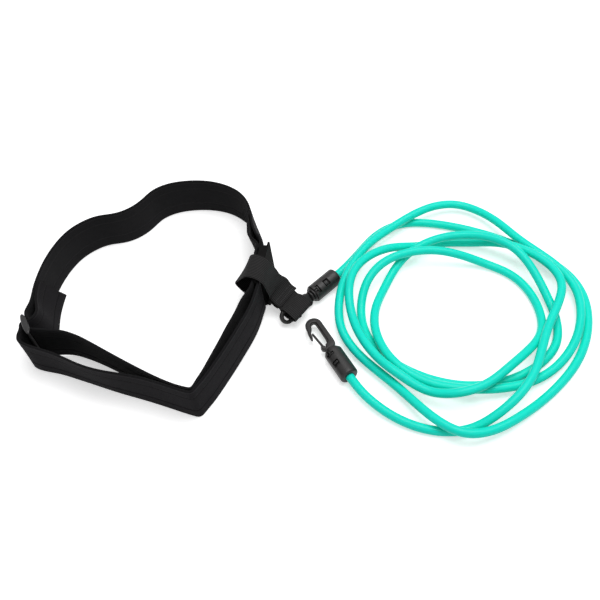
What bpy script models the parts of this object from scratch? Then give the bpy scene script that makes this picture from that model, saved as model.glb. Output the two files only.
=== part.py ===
"""Swim training belt: a waist strap closed by a side-release buckle, a webbing tether that
slides on it, and a stretch tube with a swivel snap hook at each end.

Lengths are in millimetres and turned into metres where a mesh is made. The plan of the belt
is drawn with X to the right and Y away from the front fold, and the belt stands on Z = 0.
"""

import math

import bmesh
import bpy
import numpy as np
from mathutils import Matrix, Vector

MM = 0.001

# Point of the plan drawing that becomes the part's origin
PLAN_ORIGIN = (-185.6, 11.3)

# Clearances
FIT = 0.3
LAYER_GAP = 0.45

# Waist strap
STRAP_WIDTH = 50.0
STRAP_THICKNESS = 2.2
STRAP_STEP = 7.0

# Side-release buckle, its length running from the open lips to the bar of the male half
BUCKLE_START = (-98.0, 47.0)
BUCKLE_HEADING = math.radians(-101.0)
BUCKLE_SLOT_WIDTH = STRAP_WIDTH + 1.6
BUCKLE_CHEEK = 2.2
BUCKLE_WIDTH = BUCKLE_SLOT_WIDTH + 2 * BUCKLE_CHEEK
BUCKLE_THICKNESS = 9.0
BUCKLE_WALL = 1.6
LIP_LENGTH = 7.0
STRAP_WINDOW = 6.4
FEMALE_BAR = 3.0
FEMALE_BAR_DEPTH = 3.6
FEMALE_WEB = 2.4
POCKET_DEPTH = 17.6
POCKET_CHEEK = 2.7
POCKET_WIDTH = BUCKLE_WIDTH - 2 * POCKET_CHEEK
MALE_SHOULDER = 4.0
MALE_SLOT = 5.6
MALE_BAR = 3.4
MALE_PLATE = 3.4
GUIDE_WIDTH = 10.0
ARM_THICKNESS = 3.6
ARM_PIVOT_OFFSET = 0.3 * STRAP_WIDTH
ARM_PIVOT_RADIUS = 2.2
ARM_PAD_SET_BACK = 0.4
ARM_PAD_REACH = BUCKLE_WIDTH / 2 - ARM_PAD_SET_BACK

# Three-bar slider
SLIDER_CENTRE = (-344.0, -41.5)
SLIDER_HEADING = math.radians(-64.5)
SLIDER_BAR = 3.0
SLIDER_SLOT = 9.5
SLIDER_THICKNESS = 3.0
SLIDER_SLOT_HEIGHT = STRAP_WIDTH + 1.4
SLIDER_CHEEK = 2.3
SLIDER_HEIGHT = SLIDER_SLOT_HEIGHT + 2 * SLIDER_CHEEK

# Tether webbing
WEBBING_WIDTH = 31.0
WEBBING_THICKNESS = 1.6
END_LOOP_WIDTH = 28.0
TETHER_AT = 36.0
TETHER_SLANT = 0.325
STACK_END = (-77.0, -3.5)
STACK_YAW = -126.0
STACK_LIFT = 11.2
STACK_SLOPE = 0.28
EYE_DISTANCE = 27.3

# Tube and its coil
TUBE_DIAMETER = 9.5
TUBE_SIDES = 6
COIL_CENTRE = (110.0, -28.0)
COIL_POINTS_PER_TURN = 24
COIL_LIFT_GAP = 1.4
HUMP_HALF_LENGTH = 75.0

# Barrels and swivel inserts
BARREL_DIAMETER = 20.0
BARREL_LENGTH = 35.0
BARREL_WALL = 2.4
BARREL_BORE = BARREL_DIAMETER - 2 * BARREL_WALL
BARREL_LIP = 4.0
BARREL_MOUTH = TUBE_DIAMETER + 2 * FIT
BARREL_EDGE = 2.4
WINDOW_START = 0.4 * BARREL_LENGTH
WINDOW_LENGTH = 0.2 * BARREL_LENGTH
WINDOW_WIDTH = 0.4 * BARREL_DIAMETER
NOTCH_DEPTH = 0.2 * BARREL_LENGTH
NOTCH_WIDTH = 4.6
NOTCH_CROSS_WIDTH = 9.6
NOTCH_CROSS_LENGTH = 3.4
TUBE_INSERTION = 11.0
PLUG_LENGTH = 4.4
INSERT_LENGTH = BARREL_LENGTH - TUBE_INSERTION - PLUG_LENGTH
INSERT_FRONT_WALL = 4.6
FLANGE_DIAMETER = BARREL_DIAMETER - 3.2
FLANGE_THICKNESS = 1.9
HEAD_DIAMETER = 10.4
HEAD_THICKNESS = 3.3
SHANK_DIAMETER = 5.0
COLLAR_DIAMETER = 12.4
COLLAR_THICKNESS = 2.5

# Snap hooks
HOOK_THICKNESS = 4.8
HOOK_BOW_CENTRE = (40.0, 0.6)
HOOK_BOW_RADIUS = 8.4
HOOK_LEG_WIDTH = 4.2
GATE_PIVOT = (10.0, 5.2)
GATE_PIVOT_RADIUS = 2.0
GATE_THICKNESS = 3.6
GATE_WIDTH = 1.8
GATE_TIP = (31.5, 7.0)

# Where the two end fittings lie: the middle of the barrel's hook end, the heading of the
# hook, and how far barrel and hook are rolled about it
END_1 = (-51.0, 5.0)
END_1_HEADING = math.radians(-137.4)
BARREL_1_ROLL = math.radians(-25)
HOOK_1_ROLL = math.radians(-48)
END_2 = (-32.0, -73.0)
END_2_HEADING = math.radians(118.0)
BARREL_2_ROLL = math.radians(-38)
HOOK_2_ROLL = 0.0


def remove_all():
    """Empties the scene."""
    for item in list(bpy.data.objects):
        bpy.data.objects.remove(item)


def make_material(name, colour, roughness, metallic=0.0):
    """A plain Principled material."""
    material = bpy.data.materials.new(name)
    material.use_nodes = True
    shader = material.node_tree.nodes["Principled BSDF"]
    shader.inputs["Base Color"].default_value = (*colour, 1.0)
    shader.inputs["Roughness"].default_value = roughness
    shader.inputs["Metallic"].default_value = metallic
    return material


def add_mesh(name, vertices, faces, material=None, frame=None, smooth=False):
    """Makes an object from vertices in millimetres, placed by a frame matrix in metres."""
    mesh = bpy.data.meshes.new(name)
    scaled = [tuple(c * MM for c in vertex) for vertex in vertices]
    mesh.from_pydata(scaled, [], faces)
    work = bmesh.new()
    work.from_mesh(mesh)
    bmesh.ops.recalc_face_normals(work, faces=work.faces)
    work.to_mesh(mesh)
    work.free()
    if smooth:
        mesh.shade_smooth()
        mesh.set_sharp_from_angle(angle=math.radians(35))
    obj = bpy.data.objects.new(name, mesh)
    bpy.context.collection.objects.link(obj)
    if material:
        mesh.materials.append(material)
    if frame:
        obj.matrix_world = frame
    return obj


def plan_frame(point, heading, height):
    """Frame with X along a heading in plan, Y up and Z to the right of the heading."""
    along = Vector((math.cos(heading), math.sin(heading), 0.0))
    up = Vector((0.0, 0.0, 1.0))
    side = along.cross(up)
    matrix = Matrix((along, up, side)).transposed().to_4x4()
    x, y = point[0] - PLAN_ORIGIN[0], point[1] - PLAN_ORIGIN[1]
    matrix.translation = Vector((x * MM, y * MM, height * MM))
    return matrix


def spline(rows, step):
    """Natural cubic spline through rows of numbers by the chord length of their first three
    columns, read about every step millimetres."""
    rows = np.array(rows, dtype=float)
    chords = np.linalg.norm(np.diff(rows[:, :3], axis=0), axis=1)
    count = len(rows)
    matrix = np.eye(count)
    target = np.zeros_like(rows)
    for i in range(1, count - 1):
        before, after = chords[i - 1], chords[i]
        matrix[i, i - 1: i + 2] = before, 2 * (before + after), after
        target[i] = 6 * ((rows[i + 1] - rows[i]) / after - (rows[i] - rows[i - 1]) / before)
    bend = np.linalg.solve(matrix, target)
    result = []
    for i in range(count - 1):
        width = chords[i]
        pieces = math.ceil(width / step)
        for part in range(pieces):
            a = part / pieces
            b = 1 - a
            result.append(
                b * rows[i] + a * rows[i + 1]
                + ((b ** 3 - b) * bend[i] + (a ** 3 - a) * bend[i + 1]) * width ** 2 / 6
            )
    result.append(rows[-1])
    return np.array(result)


def ribbon(name, low_edge, high_edge, thickness, material):
    """Solid band between two edge curves with the same number of points."""
    low, high = np.array(low_edge), np.array(high_edge)
    middle = (low + high) / 2
    along = np.gradient(middle, axis=0)
    across = high - low
    normal = np.cross(along, across)
    normal *= thickness / 2 / np.linalg.norm(normal, axis=1)[:, None]
    rings = np.stack([low - normal, high - normal, high + normal, low + normal], axis=1)
    rings[:, :, 0] -= PLAN_ORIGIN[0]
    rings[:, :, 1] -= PLAN_ORIGIN[1]
    count = len(rings)
    faces = [(3, 2, 1, 0)]
    for i in range(count - 1):
        for side in range(4):
            a, b = 4 * i + side, 4 * i + (side + 1) % 4
            faces.append((a, b, b + 4, a + 4))
    last = 4 * (count - 1)
    faces.append((last, last + 1, last + 2, last + 3))
    return add_mesh(name, rings.reshape(-1, 3).tolist(), faces, material)


def plate(name, outline, low, high, material=None, frame=None, smooth=False):
    """Extrudes a closed outline in the XY plane from Z = low to Z = high."""
    count = len(outline)
    vertices = [(x, y, low) for x, y in outline] + [(x, y, high) for x, y in outline]
    faces = [tuple(range(count))[::-1], tuple(range(count, 2 * count))]
    for i in range(count):
        j = (i + 1) % count
        faces.append((i, j, j + count, i + count))
    return add_mesh(name, vertices, faces, material, frame, smooth)


def block(name, x_range, y_range, z_range, material=None, frame=None):
    """Box given by its three ranges."""
    (x0, x1), (y0, y1) = x_range, y_range
    outline = [(x0, y0), (x1, y0), (x1, y1), (x0, y1)]
    return plate(name, outline, *z_range, material=material, frame=frame)


def turned(name, profile, sides, material=None, frame=None):
    """Turns a profile of (x, radius) points about the X axis; end points may have radius 0."""
    vertices, rings = [], []
    for x, radius in profile:
        if radius == 0:
            rings.append([len(vertices)])
            vertices.append((x, 0.0, 0.0))
            continue
        ring = []
        for i in range(sides):
            angle = 2 * math.pi * i / sides
            ring.append(len(vertices))
            vertices.append((x, radius * math.cos(angle), radius * math.sin(angle)))
        rings.append(ring)
    closed = profile[0][1] != 0
    pairs = list(zip(rings, rings[1:]))
    if closed:
        pairs.append((rings[-1], rings[0]))
    faces = []
    for first, second in pairs:
        for i in range(sides):
            j = (i + 1) % sides
            if len(first) == 1:
                faces.append((first[0], second[i], second[j]))
            elif len(second) == 1:
                faces.append((first[i], first[j], second[0]))
            else:
                faces.append((first[i], first[j], second[j], second[i]))
    return add_mesh(name, vertices, faces, material, frame, smooth=True)


def arc(centre, radius, start, end, count):
    """Points of an arc, angles in degrees."""
    angles = np.radians(np.linspace(start, end, count))
    return [(centre[0] + radius * math.cos(a), centre[1] + radius * math.sin(a)) for a in angles]


def combine(obj, tool, operation):
    """Cuts a tool from an object or joins it on, and keeps the tool as a hidden guide."""
    tool.hide_render = True
    tool.hide_set(True)
    tool.display_type = "WIRE"
    modifier = obj.modifiers.new(operation.title(), "BOOLEAN")
    modifier.operation = operation
    modifier.object = tool
    modifier.solver = "EXACT"


def buckle_point(x, inward):
    """Plan point of the buckle's own coordinates: along its length and towards the wearer."""
    along = (math.cos(BUCKLE_HEADING), math.sin(BUCKLE_HEADING))
    side = (along[1], -along[0])
    return (
        BUCKLE_START[0] + x * along[0] + inward * side[0],
        BUCKLE_START[1] + x * along[1] + inward * side[1],
    )


def slider_point(x, outward):
    """Plan point of the slider's own coordinates: along it and away from the wearer."""
    along = (math.cos(SLIDER_HEADING), math.sin(SLIDER_HEADING))
    side = (along[1], -along[0])
    return (
        SLIDER_CENTRE[0] + x * along[0] + outward * side[0],
        SLIDER_CENTRE[1] + x * along[1] + outward * side[1],
    )


# Stations of the buckle along its length
WINDOW_A = LIP_LENGTH
BAR_START = WINDOW_A + STRAP_WINDOW
WINDOW_B = BAR_START + FEMALE_BAR
WEB_START = WINDOW_B + STRAP_WINDOW
POCKET_START = WEB_START + FEMALE_WEB
FEMALE_END = POCKET_START + POCKET_DEPTH
MALE_START = FEMALE_END + FIT
SLOT_START = MALE_START + MALE_SHOULDER
SLOT_END = SLOT_START + MALE_SLOT
MALE_END = SLOT_END + MALE_BAR
BUCKLE_MIDDLE = WEBBING_THICKNESS + FIT + BUCKLE_WIDTH / 2
SLIDER_MIDDLE = SLIDER_HEIGHT / 2 + FIT
BUCKLE_LIFT = BUCKLE_MIDDLE - STRAP_WIDTH / 2
SLIDER_LIFT = SLIDER_MIDDLE - STRAP_WIDTH / 2
TETHER_LIFT = WEBBING_THICKNESS + FIT + 0.2


def bend(centre, radius, start, end):
    """Points every 30 degrees or less of a bend in a hardware's own coordinates."""
    count = max(2, math.ceil(abs(end - start) / 30) + 1)
    return arc(centre, radius, start, end, count)


def strap_stations():
    """Route of the strap as rows of x, y, lean, lift and slant.

    Lean is how far the top edge stands to the left of the middle, seen along the route, lift
    is the height of the bottom edge, and slant is how far the top edge stays behind it."""
    half = STRAP_THICKNESS / 2
    pitch = STRAP_THICKNESS + LAYER_GAP
    face = BUCKLE_THICKNESS / 2
    main_side = face + 0.5 + half
    fold_side = main_side + pitch
    behind_bar = face - FEMALE_BAR_DEPTH - 0.35 - half
    turn = (fold_side - behind_bar) / 2
    over_bar = SLIDER_THICKNESS / 2 + 0.5 + half
    wide = over_bar + pitch
    male_turn = MALE_PLATE / 2 + 0.35 + half
    rows = []

    def local(place, lift, points):
        for x, side in points:
            rows.append((*place(x, side), 0.0, lift, 0.0))

    def plan(lift, *points, slant=0.0):
        for x, y, lean in points:
            rows.append((x, y, lean, lift, slant))

    # Sewn end that folds round the bar of the female half
    plan(0.6, (-123.2, 110.6, 0.0))
    plan(1.6, (-121.8, 98.0, -1.4), (-119.4, 84.0, -1.6))
    plan(3.0, (-115.6, 71.0, -1.6))
    plan(BUCKLE_LIFT, (-111.2, 60.0, -1.0))
    local(buckle_point, BUCKLE_LIFT, [(3.0, fold_side + 0.3)])
    local(
        buckle_point, BUCKLE_LIFT,
        bend((WINDOW_B, fold_side - turn), turn, 90, -90)
        + bend((BAR_START, behind_bar + 2.6), 2.6, -90, -150)
        + bend((WINDOW_A - 0.2, main_side - 2.2), 2.2, 30, 90)
        + [(0.0, main_side)],
    )
    # Back band, round to the left side
    plan(3.0, (-106.4, 64.0, 0.0))
    plan(1.6, (-111.6, 86.0, 0.0))
    plan(0.6, (-117.6, 107.0, 0.0))
    plan(
        0.0,
        (-128.0, 126.0, 0.0), (-143.0, 140.0, 0.0), (-166.0, 150.5, 0.0), (-194.0, 154.0, 0.0),
        (-219.0, 150.0, 0.0), (-232.5, 142.0, 0.0), (-243.5, 128.5, 0.0), (-257.0, 116.5, 0.0),
        (-273.0, 110.0, 0.0), (-292.0, 107.5, 0.0), (-308.0, 100.5, 0.0), (-322.0, 88.5, 0.0),
        (-333.4, 70.0, 0.0), (-341.0, 49.0, 0.0), (-345.2, 27.0, 0.0), (-346.6, 6.0, 0.0),
    )
    plan(1.6, (-346.6, -12.0, 0.0))
    # Through the first slot of the slider, over its middle bar and out to the bulge
    slant = math.radians(55)
    crossing = (wide + over_bar - (wide + 2.0) * (1 - math.cos(slant))) / math.sin(slant)
    entry = -0.95 - (wide + 2.0) * math.sin(slant) - crossing * math.cos(slant)
    local(
        slider_point, SLIDER_LIFT,
        [(-14.2, -over_bar - 0.1)]
        + bend((entry, -over_bar + 2.0), 2.0, -90, -35)
        + bend((-1.1, 0.0), wide, 145, 90),
    )
    plan(2.6, (-350.6, -51.5, 0.0))
    plan(1.6, (-350.0, -57.0, 0.0), (-344.5, -62.0, 0.0))
    plan(
        0.0,
        (-327.0, -68.4, -1.0), (-302.0, -78.4, -1.4), (-282.0, -89.6, -3.7),
        (-261.4, -97.1, -2.2), (-222.0, -111.0, -0.8), (-190.0, -124.2, 0.0),
        (-175.0, -130.5, 0.0), (-169.0, -131.5, 0.0), (-165.0, -127.5, 0.0),
        (-157.5, -117.0, 0.0), (-143.0, -92.5, 0.0),
    )
    plan(TETHER_LIFT * 0.6, (-133.0, -75.0, 0.0))
    plan(TETHER_LIFT, (-125.0, -60.0, 0.0), (-115.6, -40.0, 0.0))
    plan(TETHER_LIFT + 1.2, (-109.4, -22.0, 0.0))
    # Round the bar of the male half
    local(
        buckle_point, BUCKLE_LIFT,
        [(SLOT_START + 13.0, -male_turn + 0.2)]
        + bend((SLOT_START + MALE_SLOT, 0.0), male_turn, 270, 90)
        + [(SLOT_START + 13.0, male_turn + 0.4)],
    )
    # Inner layer back to the slider
    plan(TETHER_LIFT + 1.2, (-120.6, -24.0, 0.0))
    plan(TETHER_LIFT, (-128.4, -42.0, 0.0), (-136.0, -59.0, 0.0))
    plan(TETHER_LIFT * 0.6, (-142.6, -74.0, 0.0))
    plan(
        0.0,
        (-151.0, -92.0, 0.0), (-159.5, -111.0, 0.0), (-165.5, -122.5, 0.0),
        (-169.3, -127.6, 0.0), (-174.5, -127.0, 0.0), (-197.5, -116.8, 0.0),
        (-227.6, -96.4, 1.8), (-258.6, -75.0, 2.4), (-278.2, -62.4, 1.8), (-295.0, -53.2, 1.2),
    )
    plan(1.6, (-309.2, -48.6, 1.2))
    plan(SLIDER_LIFT, (-322.0, -47.8, 0.8), (-333.0, -46.6, 0.0))
    # Round the middle bar of the slider
    local(slider_point, SLIDER_LIFT, bend((1.1, 0.0), over_bar, 18, 90))
    local(slider_point, SLIDER_LIFT, bend((-1.1, 0.0), over_bar, 90, 162))
    # Free end along the inside of the left band
    plan(SLIDER_LIFT, (-339.6, -31.6, 0.0))
    plan(1.6, (-335.4, -22.0, 2.0))
    plan(0.4, (-337.2, -8.0, 4.0))
    plan(0.2, (-338.8, 6.0, 4.5), slant=3.0)
    plan(0.2, (-338.4, 21.0, 4.5), slant=10.0)
    plan(0.2, (-337.0, 36.0, 4.5), slant=19.0)
    return rows


def strap_edges():
    """Bottom and top edge of the strap along its route."""
    rows = spline(strap_stations(), STRAP_STEP)
    rows[:, 3] = np.maximum(rows[:, 3], 0.0)
    along = np.gradient(rows[:, :2], axis=0)
    along /= np.linalg.norm(along, axis=1)[:, None]
    left = np.stack([-along[:, 1], along[:, 0]], axis=1)
    shift = left * rows[:, 2:3]
    low = np.column_stack([rows[:, :2] - shift, rows[:, 3]])
    top = rows[:, :2] + shift - along * rows[:, 4:]
    return low, np.column_stack([top, rows[:, 3] + STRAP_WIDTH])


def patch(name, low, high, at, length, inset, side, thickness, material):
    """Thin sewn bar of a ribbon, lying on the face at one side of it at a point of its route."""
    middle = (low + high) / 2
    travel = np.concatenate([[0.0], np.cumsum(np.linalg.norm(np.diff(middle, axis=0), axis=1))])
    centre = travel[np.argmin(np.linalg.norm(middle[:, :2] - np.array(at), axis=1))]
    spots = (centre - length / 2, centre + length / 2)
    ends = []
    for edge in (low, high):
        ends.append(np.array([[np.interp(s, travel, edge[:, k]) for k in range(3)] for s in spots]))
    across = ends[1] - ends[0]
    size = np.linalg.norm(across, axis=1)[:, None]
    ends[0], ends[1] = ends[0] + across * inset / size, ends[1] - across * inset / size
    normal = np.cross(ends[0][1] - ends[0][0], across[0])
    normal *= side / np.linalg.norm(normal)
    return ribbon(name, ends[0] + normal, ends[1] + normal, thickness, material)


def build_strap(material, thread):
    """The strap and the sewn bars that close its fold at the female half."""
    low, high = strap_edges()
    ribbon("waist_strap", low, high, STRAP_THICKNESS, material)
    off = STRAP_THICKNESS / 2 + FIT + 0.3
    patch("strap_tack_1", low, high, (-119.0, 87.0), 4.0, 3.5, -off, 0.6, thread)
    patch("strap_tack_2", low, high, (-114.0, 69.0), 4.0, 3.5, -off, 0.6, thread)


def build_female(frame, material):
    """Female half: two plates held apart by side walls, with strap windows and a pocket."""
    half = BUCKLE_WIDTH / 2
    slot = BUCKLE_SLOT_WIDTH / 2
    face = BUCKLE_THICKNESS / 2
    hollow = face - BUCKLE_WALL
    bar_back = face - FEMALE_BAR_DEPTH
    pocket = POCKET_WIDTH / 2
    outline = [
        (2.0, -half), (FEMALE_END, -half + 0.6), (FEMALE_END, half - 0.6), (2.0, half),
        (0.0, half - 3.0), (0.0, -half + 3.0),
    ]
    body = plate("buckle_female", outline, -face, face, material, frame)
    beyond = 5.0
    cuts = {
        "lips": ((-beyond, LIP_LENGTH), (-half - beyond, half + beyond), (-hollow, hollow)),
        "chamber_a": ((LIP_LENGTH - 1, BAR_START), (-slot, slot), (-hollow, hollow)),
        "chamber_bar": ((BAR_START - 1, WINDOW_B + 1), (-slot, slot), (-hollow, bar_back)),
        "chamber_b": ((WINDOW_B, WEB_START), (-slot, slot), (-hollow, hollow)),
        "window_a": ((WINDOW_A, BAR_START), (-slot, slot), (0, face + beyond)),
        "window_b": ((WINDOW_B, WEB_START), (-slot, slot), (0, face + beyond)),
        "pocket": ((POCKET_START, FEMALE_END + beyond), (-pocket, pocket), (-hollow, hollow)),
        "side_windows": (
            (POCKET_START + 1.4, FEMALE_END - 7.0), (-half - beyond, half + beyond),
            (-hollow, hollow),
        ),
    }
    for name, ranges in cuts.items():
        combine(body, block("female_" + name, *ranges, frame=frame), "DIFFERENCE")
    return body


def build_male(frame, material):
    """Male half: bar and shoulder with the middle guide that enters the pocket."""
    half = BUCKLE_WIDTH / 2
    slot = BUCKLE_SLOT_WIDTH / 2
    face = BUCKLE_THICKNESS / 2
    guide = GUIDE_WIDTH / 2
    tip = POCKET_START + FIT + 0.7
    outline = [
        (tip + 3.0, -guide), (MALE_START + 1.0, -guide), (MALE_START + 1.0, -half + 0.6),
        (MALE_END - 2.5, -half + 0.6), (MALE_END, -half + 4.0), (MALE_END, half - 4.0),
        (MALE_END - 2.5, half - 0.6), (MALE_START + 1.0, half - 0.6), (MALE_START + 1.0, guide),
        (tip + 3.0, guide), (tip, guide - 2.0), (tip, -guide + 2.0),
    ]
    body = plate("buckle_male", outline, -MALE_PLATE / 2, MALE_PLATE / 2, material, frame)
    shoulder = block(
        "male_shoulder", (MALE_START, SLOT_START), (-half + 0.3, half - 0.3), (-face, face),
        frame=frame,
    )
    combine(body, shoulder, "UNION")
    slot_cut = block("male_slot", (SLOT_START, SLOT_END), (-slot, slot), (-9, 9), frame=frame)
    combine(body, slot_cut, "DIFFERENCE")
    for side in (1, -1):
        centre = (MALE_START + 0.9, side * ARM_PIVOT_OFFSET)
        seat = plate(
            f"male_seat_{side}", arc(centre, ARM_PIVOT_RADIUS + FIT, 0, 345, 24), -9, 9,
            frame=frame,
        )
        combine(body, seat, "DIFFERENCE")
        low, high = side * ARM_PIVOT_OFFSET - 3.0, side * ARM_PIVOT_OFFSET + 3.6
        mouth = block(
            f"male_mouth_{side}", (MALE_START - 1.0, MALE_START + 0.9), (low, high), (-9, 9),
            frame=frame,
        )
        combine(body, mouth, "DIFFERENCE")
    return body


def build_arms(material):
    """The two sprung arms, each turning about its root in the male half."""
    arms = []
    x0 = MALE_START + 0.9
    y0 = ARM_PIVOT_OFFSET
    pad_low, pad_high = POCKET_START + 2.2, FEMALE_END - 7.6
    for name, side in (("buckle_arm_upper", 1), ("buckle_arm_lower", -1)):
        root = arc((x0, y0), ARM_PIVOT_RADIUS, -80, 80, 9)
        shape = root + [
            (pad_high + 1.4, y0 + 3.4), (pad_high, y0 + 4.6), (pad_high, ARM_PAD_REACH),
            (pad_low + 1.6, ARM_PAD_REACH), (pad_low - 0.4, ARM_PAD_REACH - 3.4),
            (pad_low - 0.4, y0 + 5.2), (pad_low + 2.6, y0 + 2.6), (pad_high - 0.6, y0 - 0.6),
        ]
        shape = [((x - x0), side * (y - y0)) for x, y in shape]
        frame = plan_frame(
            buckle_point(x0, 0.0), BUCKLE_HEADING, BUCKLE_MIDDLE + side * y0
        )
        arms.append(plate(name, shape, -ARM_THICKNESS / 2, ARM_THICKNESS / 2, material, frame))
    return arms


def build_slider(material):
    """Three-bar slider with rounded ends and two strap slots."""
    reach = SLIDER_SLOT + 1.5 * SLIDER_BAR
    half = SLIDER_HEIGHT / 2
    slot = SLIDER_SLOT_HEIGHT / 2
    frame = plan_frame(SLIDER_CENTRE, SLIDER_HEADING, SLIDER_MIDDLE)
    corner = 4.0
    outline = []
    for sx, sy, start in ((1, 1, 0), (-1, 1, 90), (-1, -1, 180), (1, -1, 270)):
        centre = (sx * (reach - corner), sy * (half - corner))
        outline += arc(centre, corner, start, start + 90, 5)
    thickness = SLIDER_THICKNESS / 2
    body = plate("strap_slider", outline, -thickness, thickness, material, frame)
    for side in (1, -1):
        near, far = SLIDER_BAR / 2, SLIDER_BAR / 2 + SLIDER_SLOT
        x_range = (near, far) if side > 0 else (-far, -near)
        cutter = block(f"slider_slot_{side}", x_range, (-slot, slot), (-9, 9), frame=frame)
        combine(body, cutter, "DIFFERENCE")
    return body


def webbing_loop(name, rows, width, material, step=4.0):
    """Webbing along rows of x, y, z and the yaw of its width in degrees."""
    path = spline(rows, step)
    path[:, 2] = np.maximum(path[:, 2], WEBBING_THICKNESS / 2)
    yaw = np.radians(path[:, 3])
    across = np.stack([np.cos(yaw), np.sin(yaw), np.zeros(len(yaw))], axis=1) * width / 2
    low, high = path[:, :3] - across, path[:, :3] + across
    ribbon(name, low, high, WEBBING_THICKNESS, material)
    return low, high


def build_tether(material, thread):
    """Big loop round the belt, small loop through the hook, and the stitching between."""
    half = WEBBING_THICKNESS / 2
    heading = math.degrees(BUCKLE_HEADING)
    top = 2 * BUCKLE_MIDDLE - WEBBING_THICKNESS - FIT

    def section(side, z, yaw, ahead=0.0):
        x, y = buckle_point(TETHER_AT + ahead + side * TETHER_SLANT, -side)
        return (x, y, z, yaw)

    pitch = WEBBING_THICKNESS + LAYER_GAP

    yaw = math.radians(STACK_YAW)
    across = (math.cos(yaw), math.sin(yaw))
    run = (-across[1], across[0])

    def sewn(back, layer, aside=0.0):
        return (
            STACK_END[0] - run[0] * back + across[0] * aside,
            STACK_END[1] - run[1] * back + across[1] * aside,
            STACK_LIFT + layer * pitch + back * STACK_SLOPE, STACK_YAW,
        )

    big = [
        sewn(5.0, -0.1), sewn(9.6, -0.1), sewn(13.2, 0.9),
        section(15.4, 18.6, -119.0, -1.5), section(12.8, 17.6, -111.0, -3.6),
        section(10.8, 12.6, -105.0, -5.4), section(9.4, 6.6, -103.0, -6.6), section(7.2, 1.6, -102.0, -7.5),
        section(0.0, half, -102.0, -8.0), section(-7.0, half, -103.0, -8.0),
        section(-12.6, 2.2, -104.0, -7.5), section(-16.6, 7.6, -108.0, -6.0),
        section(-19.8, 15.6, -114.0, -4.0), section(-22.4, 24.5, -119.0, -2.0),
        section(-23.0, 31.0, -121.0, -0.5), section(-21.0, 38.0, -117.0, 1.0),
        section(-17.0, 46.5, -109.0, 2.0), section(-12.8, 54.0, -104.0, 3.0),
        section(-7.4, top + 0.6, -102.5, 3.5), section(-2.0, top + 1.6, -102.0, 3.5),
        section(3.4, top + 1.5, -102.0, 3.5), section(8.2, 56.0, -103.0, 3.0),
        section(11.6, 48.0, -105.0, 2.0), section(13.9, 39.0, -109.0, 1.0),
        section(16.4, 31.5, -115.0), sewn(14.0, 6.1), sewn(8.0, 3.4), sewn(0.6, 3.0),
    ]
    low, high = webbing_loop("tether_loop", big, WEBBING_WIDTH, material)
    off = WEBBING_THICKNESS / 2 + FIT + 0.25
    for number, back in ((1, 3.0), (2, 7.4)):
        x, y = sewn(back, 3)[:2]
        patch(
            f"tether_stitch_{number}", low[-8:], high[-8:], (x, y), 1.4, 1.8, -off, 0.5, thread
        )

    ahead = (math.cos(END_1_HEADING), math.sin(END_1_HEADING))

    def eye(side, z, yaw=-134.0):
        return (
            END_1[0] + ahead[0] * EYE_DISTANCE - ahead[1] * side,
            END_1[1] + ahead[1] * EYE_DISTANCE + ahead[0] * side, z, yaw,
        )

    lap = (WEBBING_WIDTH - END_LOOP_WIDTH) / 2
    small = [
        sewn(9.0, 1, lap), sewn(6.0, 1, lap), sewn(3.0, 1, lap), eye(-7.6, 11.0),
        eye(-3.2, 8.7), eye(2.0, 9.0), eye(6.5, 11.2), eye(10.4, 13.2, -131.0),
        eye(13.4, 15.4, -129.0), eye(13.2, 17.9, -129.0), eye(9.5, 19.4, -131.0),
        eye(3.0, 20.3), eye(-3.4, 19.4), eye(-8.2, 16.4, -130.0),
        sewn(1.4, 2.0, lap), sewn(4.6, 2, lap), sewn(9.0, 2, lap),
    ]
    webbing_loop("hook_loop", small, END_LOOP_WIDTH, material, step=3.0)


def barrel_profile():
    """Wall of the barrel as (x, radius): X = 0 is the hook end, and it runs to the mouth."""
    outer = BARREL_DIAMETER / 2
    bore = BARREL_BORE / 2
    mouth = BARREL_MOUTH / 2
    end = -BARREL_LENGTH
    edge = [
        (end + BARREL_EDGE * (1 - math.sin(a)), outer - BARREL_EDGE * (1 - math.cos(a)))
        for a in np.radians((0, 30, 60, 90))
    ]
    return [(0.0, outer - 0.5), (-0.8, outer)] + edge + [
        (end, mouth), (end + BARREL_LIP, mouth), (end + BARREL_LIP + 2.0, bore), (0.0, bore),
    ]


def hook_outline():
    """Outline of the snap hook: base, straight leg, bow and nose."""
    cx, cy = HOOK_BOW_CENTRE
    outer, inner = HOOK_BOW_RADIUS, HOOK_BOW_RADIUS - HOOK_LEG_WIDTH
    base = FLANGE_THICKNESS + FIT + COLLAR_THICKNESS
    bow = arc((cx, cy), outer, -90, 100, 13)
    throat = arc((cx, cy), inner, 110, -90, 11)
    return (
        [(base, -4.4), (8.0, -6.8), (12.0, -7.6)]
        + bow
        + [(34.0, 10.2), (28.0, 11.0), (26.4, 10.6), (26.2, 9.5), (33.0, 8.2), (36.0, 6.6)]
        + throat
        + [(16.0, -3.4), (13.6, -2.4), (12.4, 0.4), (12.4, 7.6), (11.4, 8.5), (8.2, 8.5)]
        + [(base, 5.6)]
    )


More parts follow.
